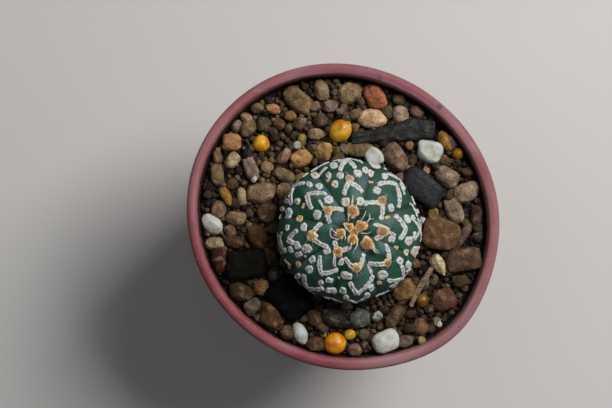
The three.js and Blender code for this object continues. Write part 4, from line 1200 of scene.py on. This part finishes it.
def strew(heap, spots, rng, colours, shade, spread, lift, seed, **form):
    """Pebbles or crumbs at spots in the fines, the smaller ones with fewer triangles."""
    for index, (x, y, size) in enumerate(spots):
        half = size / 2 * rng.uniform(*spread, 3)
        place = (x, y, gravel_plane(x, y) - GRIT_BELOW + lift * size)
        turn = 360 * rng.uniform()
        level = 1 + (size >= SMALL_CRUMB) + (size >= PEBBLE_SIZES[0])
        points, faces = placed_stone(level, place, half, turn, power=2.3, seed=seed + index, **form)
        tone = colours[int(rng.integers(len(colours)))]
        # Each colour is darkened by the given painted shade and by the gravel's painted shade
        heap.add(clear(points), faces, shade * painted_shade_factor(x, y) * varied(tone, rng, 0.3))


def build_gravel():
    """Stones, pebbles and crumbs of the bed."""
    rng = np.random.default_rng(12)
    rows = [row[1:6] for row in STONES] + [row[:5] for row in BED_STONES]
    placed = [(*settled(*row)[:2], *row[2:4]) for row in rows]
    for path, widths in ((CHARCOAL_PATH, CHARCOAL_WIDTHS), (TWIG_PATH, TWIG_WIDTHS)):
        placed += [(x, y, width + 1, width + 1) for (x, y), width in zip(path, widths)]
    fills, taken = fill_stones(placed)
    material = stone_material("gravel", 0.88, 0.5)

    # The colours of the bed, the fills, the pebbles and the crumbs are darkened by painted shade on the
    # gravel
    stones = Heap()
    form = {"power": 2.4, "facets": 0.65, "lumps": 0.11, "tilt": 0.12}
    for index, (*row, tone) in enumerate(BED_STONES):
        x, y, points, faces = bedded_stone(row, 4, seed=700 + index, **form)
        stones.add(points, faces, painted_shade_factor(x, y) * varied(tone, rng, 0.06))
    form = {"power": 2.4, "facets": 0.75, "lumps": 0.12, "tilt": 0.15}
    for index, row in enumerate(fills):
        x, y, points, faces = bedded_stone(row, 4, seed=1500 + index, **form)
        tone = FILL_COLOURS[index % len(FILL_COLOURS)]
        stones.add(points, faces, FILL_SHADE * painted_shade_factor(x, y) * varied(tone, rng, 0.16))
    stones.piece("gravel_stones", material, "gravel", "gravel_bed")

    pebbles = Heap()
    spots, taken = scattered(taken, PEBBLE_TRIES, PEBBLE_SIZES, PEBBLE_CLOSENESS, 21)
    form = {"facets": 0.9, "lumps": 0.14, "tilt": 0.5, "spread": (0.75, 1.15), "lift": 0.32}
    strew(pebbles, spots, rng, FILL_COLOURS, PEBBLE_PAINTED_SHADE, seed=4000, **form)
    form = {"power": 2.4, "facets": 0.8, "lumps": 0.12, "tilt": 0.4}
    for index, (x, y, size, tone) in enumerate(PEBBLES):
        half = size / 2 * rng.uniform(0.8, 1.1, 3)
        place = (x, y, gravel_plane(x, y) + 0.1 * size)
        points, faces = placed_stone(3, place, half, 50 * index, seed=6000 + index, **form)
        pebbles.add(clear(points), faces, varied(tone, rng, 0.05))
    pebbles.piece("gravel_pebbles", material, "gravel")

    crumbs = Heap()
    spots, _ = scattered(taken, 3 * CRUMB_COUNT, CRUMB_SIZES, CRUMB_CLOSENESS, 33)
    form = {"facets": 0.7, "lumps": 0.12, "tilt": 1.0, "spread": (0.7, 1.25), "lift": 0.42}
    strew(crumbs, spots[:CRUMB_COUNT], rng, CRUMB_COLOURS, CRUMB_PAINTED_SHADE, seed=9000, **form)
    crumbs.piece("gravel_crumbs", material, "gravel")


def build_grit():
    """Ring of fines that carries the stones, from the cactus out to the wall."""
    angle = np.linspace(0, 2 * math.pi, GRIT_COLUMNS, endpoint=False)
    direction = np.stack([np.cos(angle), np.sin(angle)], 1)
    outer = direction * (inner_wall(RIM_LEVEL, angle) - CLEARANCE)[:, None]
    inner = direction * GRIT_INNER + (CACTUS_X, CACTUS_Y)
    rings = []
    for share in np.linspace(0, 1, GRIT_ROWS):
        spot = inner + (outer - inner) * share
        ring = np.column_stack([spot, gravel_plane(*spot.T) - GRIT_BELOW])
        ring[:, 2] += 0.3 * layered_noise(ring, 1.6, 5)
        rings.append(clear_of_wall(ring))
    for share, z in GRIT_EDGE:
        rings.append(clear_of_wall(np.column_stack([outer * share, np.full(GRIT_COLUMNS, z)]), 0.5))
    low = direction * GRIT_LOW_INNER + (CACTUS_X, CACTUS_Y)
    rings.append(np.column_stack([low, np.full(GRIT_COLUMNS, GRAVEL_BOTTOM)]))
    rings.append(rings[0])
    faces = sheet_faces(len(rings), GRIT_COLUMNS)[:, ::-1]
    make_piece("gravel_fines", np.concatenate(rings), faces, grit_material())


# Cactus

def turn_between(start, end):
    """Difference of two bearings, from -180 to 180 degrees."""
    return (end - start + 540) % 360 - 180


def furrow_share(bearing):
    """How deep in a furrow a bearing lies: 0 on the rib, 1 at the furrow's line."""
    off = np.abs(turn_between(FURROWS[None, :], np.asarray(bearing)[:, None]))
    nearest = off.argmin(1)
    widths = np.abs(turn_between(FURROWS[:, None], RIBS[None, :])).min(1)
    share = 1 - off[np.arange(len(off)), nearest] / widths[nearest]
    return np.maximum(0, share) ** FURROW_SHARP


def cactus_points(apex_angle, bearing, lift):
    """Points of the ribbed skin, raised along the normal of its smooth form."""
    apex_angle, bearing, lift = np.broadcast_arrays(apex_angle, bearing, lift)
    shape = apex_angle.shape
    apex_angle, bearing, lift = (np.ravel(part).astype(float) for part in (apex_angle, bearing, lift))
    sin = np.sin(apex_angle)
    cos = np.cos(apex_angle)
    above = cos > 0
    fade = FURROW_CREST_FADE + (1 - FURROW_CREST_FADE) * np.maximum(cos, 0)
    lift = lift - FURROW_DEPTH * np.maximum(sin, 0) ** 0.8 * fade * furrow_share(bearing)
    height = np.where(above, DOME_HEIGHT, UNDERSIDE_DEPTH)
    out = CACTUS_RADIUS * sin - FLANK_INSET * np.abs(sin) ** FLANK_POWER
    dip = np.where(above, CROWN_DIP * np.exp(-((out / CROWN_DIP_RADIUS) ** 2)), 0)
    length = np.hypot(sin * height, cos * CACTUS_RADIUS)
    reach = out + lift * sin * height / length
    rise = height * cos - dip + lift * cos * CACTUS_RADIUS / length
    lean = rise / DOME_HEIGHT
    x = CACTUS_X + LEAN_X * lean + reach * np.cos(np.radians(bearing))
    y = CACTUS_Y + LEAN_Y * lean + reach * np.sin(np.radians(bearing))
    return np.stack([x, y, EQUATOR + rise], 1).reshape(*shape, 3)


def skin_scale(apex_angle):
    """Length on the skin for one radian outwards and one radian sideways."""
    height = DOME_HEIGHT if apex_angle < math.pi / 2 else UNDERSIDE_DEPTH
    outwards = math.hypot(CACTUS_RADIUS * math.cos(apex_angle), height * math.sin(apex_angle))
    return outwards, CACTUS_RADIUS * math.sin(apex_angle)


def beside(place, u, v, raise_by):
    """Skin points that lie u outwards and v sideways of a place, an apex angle and a bearing."""
    apex_angle = math.radians(place[0])
    if apex_angle < FLAT_CROWN:
        out = CACTUS_RADIUS * math.sin(apex_angle) + u
        angle = np.arcsin(np.minimum(0.99, np.hypot(out, v) / CACTUS_RADIUS))
        return cactus_points(angle, place[1] + np.degrees(np.arctan2(v, out)), raise_by)
    outwards, sideways = skin_scale(apex_angle)
    return cactus_points(apex_angle + u / outwards, place[1] + np.degrees(v / sideways), raise_by)


def build_body():
    """Ribbed body and its root in one skin, with masks for the bloom and for painted shade in the furrows
    and round the tufts.
    """
    share = np.linspace(0, 1, RIB_COLUMNS, endpoint=False)
    share = share + 0.06 * np.sin(2 * math.pi * share)
    bearing = np.concatenate([
        furrow + (turn_between(furrow, after) % 360) * share
        for furrow, after in zip(FURROWS, np.roll(FURROWS, -1))
    ])
    apex = np.linspace(1.2, 158, SKIN_ROWS)[:, None]
    smooth = cactus_points(np.radians(apex), bearing, 0.0)
    flat = smooth.reshape(-1, 3)
    grain = 0.07 * layered_noise(flat, 2.2, 4) + 0.02 * smooth_noise(flat, 0.5, 8)
    points = cactus_points(np.radians(apex), bearing, grain.reshape(smooth.shape[:2]))
    rings = np.concatenate([points, root_rings(bearing)])
    skin, faces = capped_skin(cactus_points(0, 0, 0), rings, (CACTUS_X, CACTUS_Y, ROOT_TIP - 0.2))
    masks = {
        name: np.pad(mask.ravel(), (0, len(skin) - mask.size))
        for name, mask in skin_masks(apex, bearing).items()
    }
    make_piece("cactus_body", skin, faces[:, ::-1], skin_material(), "cactus", masks)


def root_rings(bearing):
    """Thick root below the body, down into the soil."""
    rings = []
    for z in np.linspace(SOIL_TOP + 0.4, ROOT_TIP, ROOT_ROWS):
        share = min(1.0, (z - ROOT_TIP) / (SOIL_TOP - ROOT_TIP))
        radius = ROOT_TIP_RADIUS + (ROOT_RADIUS - ROOT_TIP_RADIUS) * share
        reach = radius * (1 + 0.02 * np.sin(9 * z + 3 * np.radians(bearing)))
        x = CACTUS_X + reach * np.cos(np.radians(bearing))
        y = CACTUS_Y + reach * np.sin(np.radians(bearing))
        rings.append(np.stack([x, y, np.full(len(bearing), z)], 1))
    return np.array(rings)


def skin_masks(apex, bearing):
    """Shares of waxy bloom and of painted shade over the skin, along the furrows' lines and round the tufts,
    by degrees.
    """
    spots = cactus_points(np.radians(apex), bearing, 0.0)
    shape = spots.shape[:2]
    spots = spots.reshape(-1, 3)
    bloom = np.zeros(shape)
    for middle, at, tall, wide in BLOOM:
        off = ((apex - middle) / tall) ** 2 + (turn_between(at, bearing) / wide) ** 2
        bloom = np.maximum(bloom, np.exp(-(off**1.5)))
    cloud = layered_noise(spots, 1.8, 15).reshape(shape)
    haze = 0.55 * np.clip(0.2 + 1.1 * layered_noise(spots, 3.4, 41).reshape(shape), 0, 1)
    haze = haze * np.clip((82 - apex) / 30, 0, 1)
    bloom = np.clip(np.maximum(bloom * (0.8 + 0.45 * cloud), haze), 0, 1)
    # Painted shade along the furrows' lines, and round the tufts below
    skin_painted_shade = np.clip((furrow_share(bearing) - 0.76) / 0.2, 0, 1) * np.clip((apex - 12) / 20, 0, 1) * 0.9
    tufts = [
        (*place, radius + (0.9 if place[0] < CROWN_ANGLE else 0.45), 1.0)
        for *place, radius, _ in WOOL
    ]
    shaded = near_spots(spots, tufts, 0.0, 5).reshape(shape)
    return {"bloom": bloom, "skin_painted_shade": np.maximum(skin_painted_shade, 0.85 * shaded)}


def near_spots(points, spots, raise_by, power):
    """Mask near spots on the skin, each an apex angle, bearing, reach and strength."""
    near = np.zeros(len(points))
    for apex, bearing, reach, strength in spots:
        middle = cactus_points(math.radians(apex), bearing, raise_by)
        off = np.linalg.norm(points - middle, axis=1) / reach
        near = np.maximum(near, strength * np.exp(-(off**power)))
    return near


def strip(half_long, half_wide, ragged, rng):
    """Outline of a strip with straight sides, blunt ends and slightly ragged edges."""
    cap = np.linspace(-math.pi / 2, math.pi / 2, 9)
    blunt = (np.abs(np.cos(cap)) ** 3 + np.abs(np.sin(cap)) ** 3) ** (-1 / 3)
    core = max(0.0, half_long - half_wide)
    end = np.stack([core + half_wide * np.cos(cap) * blunt, half_wide * np.sin(cap) * blunt], 1)
    steps = max(1, int(2 * core / 0.15))
    side = np.stack([np.linspace(core, -core, steps + 2)[1:-1], np.full(steps, half_wide)], 1)
    outline = np.concatenate([end, side, -end, -side])
    uneven = rng.normal(0, ragged, len(outline))
    uneven = (uneven + np.roll(uneven, 1)) / 1.4
    distance = np.hypot(outline[:, 0], outline[:, 1])
    waves = np.sin(outline[:, 0] * rng.uniform(1.4, 2.6) + rng.uniform(0, 6))
    knuckles = np.sin(outline[:, 0] * rng.uniform(4.5, 6.5) + rng.uniform(0, 6))
    outline[:, 1] *= 1 + 0.09 * waves + 0.1 * knuckles
    return outline * (1 + uneven / distance)[:, None]


def oval_strip(outwards, sideways, rng):
    """Outline of a dot of two radii and the direction that it is laid along."""
    direction = (1.0, 0.0) if outwards >= sideways else (0.0, 1.0)
    half_long = max(outwards, sideways) * rng.uniform(1.0, 1.08)
    half_wide = min(outwards, sideways) * rng.uniform(0.92, 1.04)
    return strip(half_long, half_wide, 0.035, rng), direction


def laid(along, across, direction):
    """Lengths outwards and sideways from lengths along and across a direction."""
    du, dv = direction
    return along * du - across * dv, along * dv + across * du


def felt_patch(heap, place, outline, direction, raise_by, seed):
    """Raised felt patch over an outline laid along a direction on the skin."""
    heights = np.sqrt(np.maximum(0, 1 - FELT_LEVELS**5)) * (0.76 + 0.24 * np.clip(FELT_LEVELS / 0.6, 0, 1))
    heights[-1] = -FLECK_ROOT / raise_by
    count = len(outline)
    long, wide = outline.T
    core = np.sign(long) * np.maximum(0, np.abs(long) - np.abs(wide).max())
    rings = []
    for level, height in zip(FELT_LEVELS[1:], heights[1:]):
        u, v = laid(core + (long - core) * level, wide * level, direction)
        lumps = layered_noise(beside(place, u, v, 0.0), 0.42, seed)
        tuft = 1 + 0.55 * lumps if height > 0 else 1.0
        rings.append(beside(place, u, v, raise_by * height * tuft))
    top = beside(place, 0.0, 0.0, 0.76 * raise_by)
    points = np.concatenate([[top], np.array(rings).reshape(-1, 3)])
    side = np.arange(count)
    fan = np.stack([np.zeros(count, int), side + 1, (side + 1) % count + 1], 1)
    hearts = np.repeat(np.maximum(0, 1 - FELT_LEVELS / 0.8), [1] + [count] * len(rings))
    wool = [(*at, radius + 0.55, 0.6 + 0.15 * tone) for *at, radius, tone in WOOL]
    masks = np.stack([hearts, near_spots(points, wool + WARM_HEARTS, 0.3, 4), np.zeros(len(points))], 1)
    heap.add(points, np.concatenate([fan, sheet_faces(len(rings), count)[:, ::-1] + 1]), masks)


def fleck(felt, fuzz, place, outline, direction, height, seed, hairs, rng):
    """Felt patch with short hairs over it, most of them near its edge."""
    felt_patch(felt, place, outline, direction, height, seed)
    long, wide = outline[rng.integers(len(outline), size=hairs)].T
    inwards = rng.uniform(0.0, 0.9, hairs) ** 1.6
    half_wide = np.abs(outline[:, 1]).max()
    along = long - np.sign(long) * np.minimum(np.abs(long), half_wide * inwards)
    across = wide * (1 - inwards) * 0.95
    roots = beside(place, *laid(along, across, direction), 0.2 * height)
    splay = rng.normal(0, 0.07, (2, hairs))
    u, v = laid(along, across * (1 + rng.uniform(0.02, 0.12, hairs)), direction) + splay
    lift = height * rng.uniform(0.7, 1.0, hairs) + rng.uniform(0.0, 0.14, hairs)
    for root, tip in zip(roots, beside(place, u, v, lift)):
        base = root + HAIR_RADIUS * circle_about(tip - root, (0.3, 0.5, 0.81), HAIR_TURNS)
        fuzz.add(np.vstack([base, tip]), HAIR_FACES, linear(HAIR_TONE))


def arm_between(start, end):
    """Middle, direction and length of a straight fleck between two points of the skin."""
    apex = (start[0] + end[0]) / 2
    turn = turn_between(start[1], end[1])
    outwards, sideways = skin_scale(math.radians(apex))
    u = math.radians(end[0] - start[0]) * outwards
    v = math.radians(turn) * sideways
    length = math.hypot(u, v)
    return (apex, start[1] + turn / 2), (u / length, v / length), length


def lower_chevrons():
    """Chevrons down each rib below those in the list."""
    made = []
    for rib, first in LOWER_CHEVRONS:
        for angle in range(first, LOWER_END, LOWER_STEP):
            ends = [(angle - LOWER_ARM_UP, rib + side * LOWER_ARM_SIDE) for side in (1, -1)]
            made.append([(angle, rib), *ends])
    return made


def build_flecks():
    """Chevrons, dots and furrow scales as felt that stands up from the skin."""
    rng = np.random.default_rng(7)
    felt = Heap()
    fuzz = Heap()
    rows = [(*row, CHEVRON_WIDTH, FLECK_RAISE) for row in CHEVRONS]
    rows += [(*row, LOWER_WIDTH, LOWER_RAISE) for row in lower_chevrons()]
    arms = [(point, end, width, height) for point, *ends, width, height in rows for end in ends]
    for seed, (point, end, width, height) in enumerate(arms, 61):
        place, direction, length = arm_between(point, end)
        outline = strip(length / 2 + 0.3, width / 2 * rng.uniform(0.84, 1.0), 0.035, rng)
        fleck(felt, fuzz, place, outline, direction, height, seed, ARM_HAIRS, rng)
    for seed, (*place, outwards, sideways) in enumerate(DOTS, 260):
        outline, direction = oval_strip(outwards, sideways, rng)
        fleck(felt, fuzz, place, outline, direction, FLECK_RAISE, seed, DOT_HAIRS, rng)
    for seed, (start, end, width) in enumerate(STRIPS, 360):
        place, direction, length = arm_between(start, end)
        outline = strip(length / 2 + 0.15, width / 2, 0.03, rng)
        fleck(felt, fuzz, place, outline, direction, STRIP_RAISE, seed, STRIP_HAIRS, rng)
    felt.piece("cactus_flecks", fleck_material(), "cactus_flecks")

    scales = Heap()
    for seed, (*place, outwards, sideways) in enumerate(SCALES, 460):
        outline, direction = oval_strip(outwards, sideways, rng)
        felt_patch(scales, place, outline, direction, SCALE_RAISE, seed)
    scales.tints = [np.broadcast_to(linear(SCALE_TONE), part.shape) for part in scales.points]
    scales.piece("furrow_scales", fibre_material("dry_scales", (226, 204, 160)), "areole_wool")
    fuzz.piece("fleck_fuzz", fibre_material("fleck_fuzz", (240, 236, 230)), "cactus_flecks")


def circle_about(axis, reference, turn):
    """Points of a circle of radius 1 around an axis."""
    side = np.cross(axis, reference)
    side /= np.linalg.norm(side)
    other = np.cross(axis, side)
    other /= np.linalg.norm(other)
    return np.cos(turn)[:, None] * side + np.sin(turn)[:, None] * other


def add_fibre(heap, path, radius, tint, sides=3):
    """Curved fibre that tapers to its tip."""
    steps = len(path) - 1
    circle = circle_about(path[-1] - path[0], (0.41, -0.3, 0.86), 2 * math.pi * np.arange(sides) / sides)
    taper = radius * (1 - 0.65 * np.arange(steps) / steps)
    points, faces = capped_skin(path[0], path[:-1, None] + taper[:, None, None] * circle, path[-1])
    heap.add(points, faces, tint)


def tuft_reach(turn, radius, seed, drawn):
    """Uneven outline of a tuft, drawn out to a point away from the apex."""
    point = drawn * np.maximum(0, np.cos(turn)) ** 5
    return radius * (0.95 + point + 0.1 * np.sin(3 * turn + seed) + 0.06 * np.sin(5 * turn + 2 * seed))


def wool_colour(tints, core_share, pale_share):
    """Mix of the tuft's brown core, its own tint and its pale edge."""
    core, tint, pale = tints
    shade = tint + (core - tint) * core_share
    return shade + (pale - shade) * pale_share


def build_wool():
    """Tufts of the areoles: a felted mound under fibres that are combed away from the apex."""
    rng = np.random.default_rng(5)
    wool = Heap()
    looks = linear(WOOL_TONES)
    for index, (*place, radius, tone) in enumerate(WOOL):
        row = min(int(tone + 1), 2)
        tints = looks[row] + (looks[row + 1] - looks[row]) * (tone + 1 - row)
        grow, tall, drawn, comb, jitter, stray = CROWN_TUFT if place[0] < CROWN_ANGLE else OUTER_TUFT
        radius *= grow
        height = radius * tall
        add_mound(wool, place, radius, height, tints, index, drawn)
        for _ in range(int(WOOL_FIBRES * radius**1.5)):
            share = math.sqrt(rng.uniform(0.0, 1))
            turn = rng.uniform(0, 2 * math.pi)
            out = share * tuft_reach(turn, radius, index, drawn) * 0.97
            u = out * math.cos(turn)
            v = out * math.sin(turn)
            dome = height * math.sqrt(max(0.02, 1 - share**2.6))
            start = beside(place, u, v, 0.85 * dome)
            combed = rng.uniform(0.2, 0.5) * (1 - 0.6 * share) * comb
            aside = rng.normal(0, jitter, 2)
            top = dome * rng.uniform(0.75, 0.95) + rng.uniform(0.0, stray)
            end_u = u + combed * (0.75 + 0.25 * math.cos(turn)) + aside[0]
            end = beside(place, end_u, v * (1 + 0.1 / max(out, 0.3)) + aside[1], top)
            bend = rng.normal(0, 0.04, 3)
            along = np.linspace(0, 1, 4)[:, None]
            path = start + (end - start) * along + bend * (4 * along * (1 - along))
            edge = share - 0.06 * math.cos(turn) + rng.normal(0, 0.15)
            core_share = np.clip((0.6 - edge) / 0.25, 0, 1)
            shade = wool_colour(tints, core_share, np.clip((edge - 0.68) / 0.22, 0, 1))
            shade = np.clip(shade * rng.uniform(0.75, 1.2), 0, 1)
            add_fibre(wool, path, rng.uniform(0.025, 0.055), shade)
    wool.piece("areole_wool", fibre_material("areole_wool", (238, 222, 184)), "areole_wool")


def add_mound(heap, place, radius, height, tints, seed, drawn):
    """Low lumpy dome under a tuft: brown in its middle and paler at its edge."""
    turn = np.linspace(0, 2 * math.pi, MOUND_COLUMNS, endpoint=False)
    reach = tuft_reach(turn, radius, seed, drawn)
    rings = []
    colours = []
    for level in np.linspace(0.08, 1.0, MOUND_ROWS):
        u = reach * level * np.cos(turn)
        v = reach * level * np.sin(turn)
        lift = height * math.sqrt(1 - level**2.6) - 0.15 * level**4
        lumps = layered_noise(beside(place, u, v, lift), 0.4, seed)
        rings.append(beside(place, u, v, lift + 0.11 * lumps))
        middle = np.clip((0.66 - level + 0.3 * lumps) / 0.3, 0, 1)[:, None]
        edge = np.clip((level - 0.62 + 0.15 * lumps) / 0.25, 0, 1)[:, None]
        colours.append(wool_colour(tints, middle, edge))
    points, faces = capped_skin(beside(place, 0.0, 0.0, height), rings, beside(place, 0.0, 0.0, -0.2))
    heap.add(points, faces[:, ::-1], np.clip(np.concatenate([*colours, tints[:1], tints[2:]]), 0, 1))


def build_hairs():
    """White hairs: silky locks from the crown's tufts and thin single ones beside the others."""
    rng = np.random.default_rng(19)
    hairs = Heap()
    silk = linear(SILK_TONE)
    for lock in LOCKS:
        back = np.subtract(lock[0], lock[1])
        root = np.add(lock[0], LOCK_ROOT * back / np.linalg.norm(back))
        line = rounded([root, *lock], 2)
        share = np.linspace(0, 1, len(line))
        lift = 0.15 + 0.6 * np.minimum(1, 2.5 * share)
        for _ in range(LOCK_HAIRS):
            shift = rng.normal(0, 0.07, 2) * (1 - 0.6 * share[:, None])
            wave = 0.03 * np.sin(9 * share + rng.uniform(0, 6))[:, None]
            path = over_crown(line + shift + wave, lift + rng.uniform(0, 0.15))
            add_fibre(hairs, path, rng.uniform(0.06, 0.085), silk * rng.uniform(0.85, 1.05), 5)
    for *place, radius, _ in WOOL:
        for _ in range(TUFT_HAIRS):
            fan = rng.normal(0, 0.75)
            length = rng.uniform(0.8, 1.7)
            share = np.linspace(0, 1, 9)
            swing = rng.normal(0, 0.55) * share**2
            out = 0.6 * radius + length * share
            lift = 0.35 + 0.4 * np.sin(math.pi * np.minimum(1, share * 1.1)) * rng.uniform(0.4, 1.2)
            path = beside(place, out * np.cos(fan + swing), out * np.sin(fan + swing), lift)
            add_fibre(hairs, path, rng.uniform(0.025, 0.04), silk * rng.uniform(0.8, 1.05))
    hairs.piece("crown_hairs", fibre_material("crown_hairs", (246, 244, 238)), "cactus_flecks")


def over_crown(line, lift):
    """Points above the skin at places given from the apex, seen from above."""
    x, y = line.T
    distance = np.minimum(np.hypot(x, y) / CACTUS_RADIUS, 0.99)
    return cactus_points(np.arcsin(distance), np.degrees(np.arctan2(y, x)), lift)


# Stage

def build_stage():
    """Pale floor, soft key light from the upper right, fill light and camera."""
    floor = bpy.data.meshes.new("floor")
    corners = [(-FLOOR, -FLOOR, 0), (FLOOR, -FLOOR, 0), (FLOOR, FLOOR, 0), (-FLOOR, FLOOR, 0)]
    floor.from_pydata(corners, [], [(0, 1, 2, 3)])
    floor.materials.append(floor_material())
    plate = new_object("floor", floor)

    for name, (place, size, power, colour) in LIGHTS.items():
        light = bpy.data.lights.new(name, "AREA")
        light.size = size
        light.energy = power
        light.color = colour
        lamp = new_object(name, light)
        lamp.location = place
        target = Vector((0, 0, POT_HEIGHT * MM))
        lamp.rotation_euler = (target - lamp.location).to_track_quat("-Z", "Y").to_euler()

    world = bpy.data.worlds.new("studio")
    world.use_nodes = True
    sky = world.node_tree.nodes["Background"].inputs
    sky["Color"].default_value = (0.95, 0.97, 1.0, 1.0)
    sky["Strength"].default_value = 0.06
    bpy.context.scene.world = world
    bpy.context.scene.view_settings.view_transform = "Standard"

    camera = bpy.data.cameras.new("camera")
    camera.lens = CAMERA_LENS
    camera.clip_start = 0.01
    seat = new_object("camera", camera)
    seat.location = Vector(CAMERA_AT) * MM
    bpy.context.scene.camera = seat


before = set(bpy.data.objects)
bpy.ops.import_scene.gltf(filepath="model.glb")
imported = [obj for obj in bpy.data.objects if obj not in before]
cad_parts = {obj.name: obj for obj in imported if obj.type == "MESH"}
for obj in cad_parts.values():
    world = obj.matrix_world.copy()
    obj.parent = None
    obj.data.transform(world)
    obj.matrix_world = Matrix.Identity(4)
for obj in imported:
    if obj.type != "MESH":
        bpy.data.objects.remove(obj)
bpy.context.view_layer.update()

build_stage()
build_pot()
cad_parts["soil"].data.materials.clear()
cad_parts["soil"].data.materials.append(soil_material())
build_grit()
build_gravel()
build_separate_stones()
build_bar(
    "charcoal_bar", CHARCOAL_PATH, CHARCOAL_WIDTHS, CHARCOAL_THICKNESS,
    charcoal_material("bar_char", turn=8, tone=(35, 33, 31), dust=0.5),
    sides=40, grooves=0.24, rough=0.4, seed=11,
)
build_bar(
    "twig", TWIG_PATH, TWIG_WIDTHS, TWIG_THICKNESS, twig_material(),
    sides=24, grooves=0.12, rough=0.1, seed=23,
)
build_body()
build_flecks()
build_wool()
build_hairs()
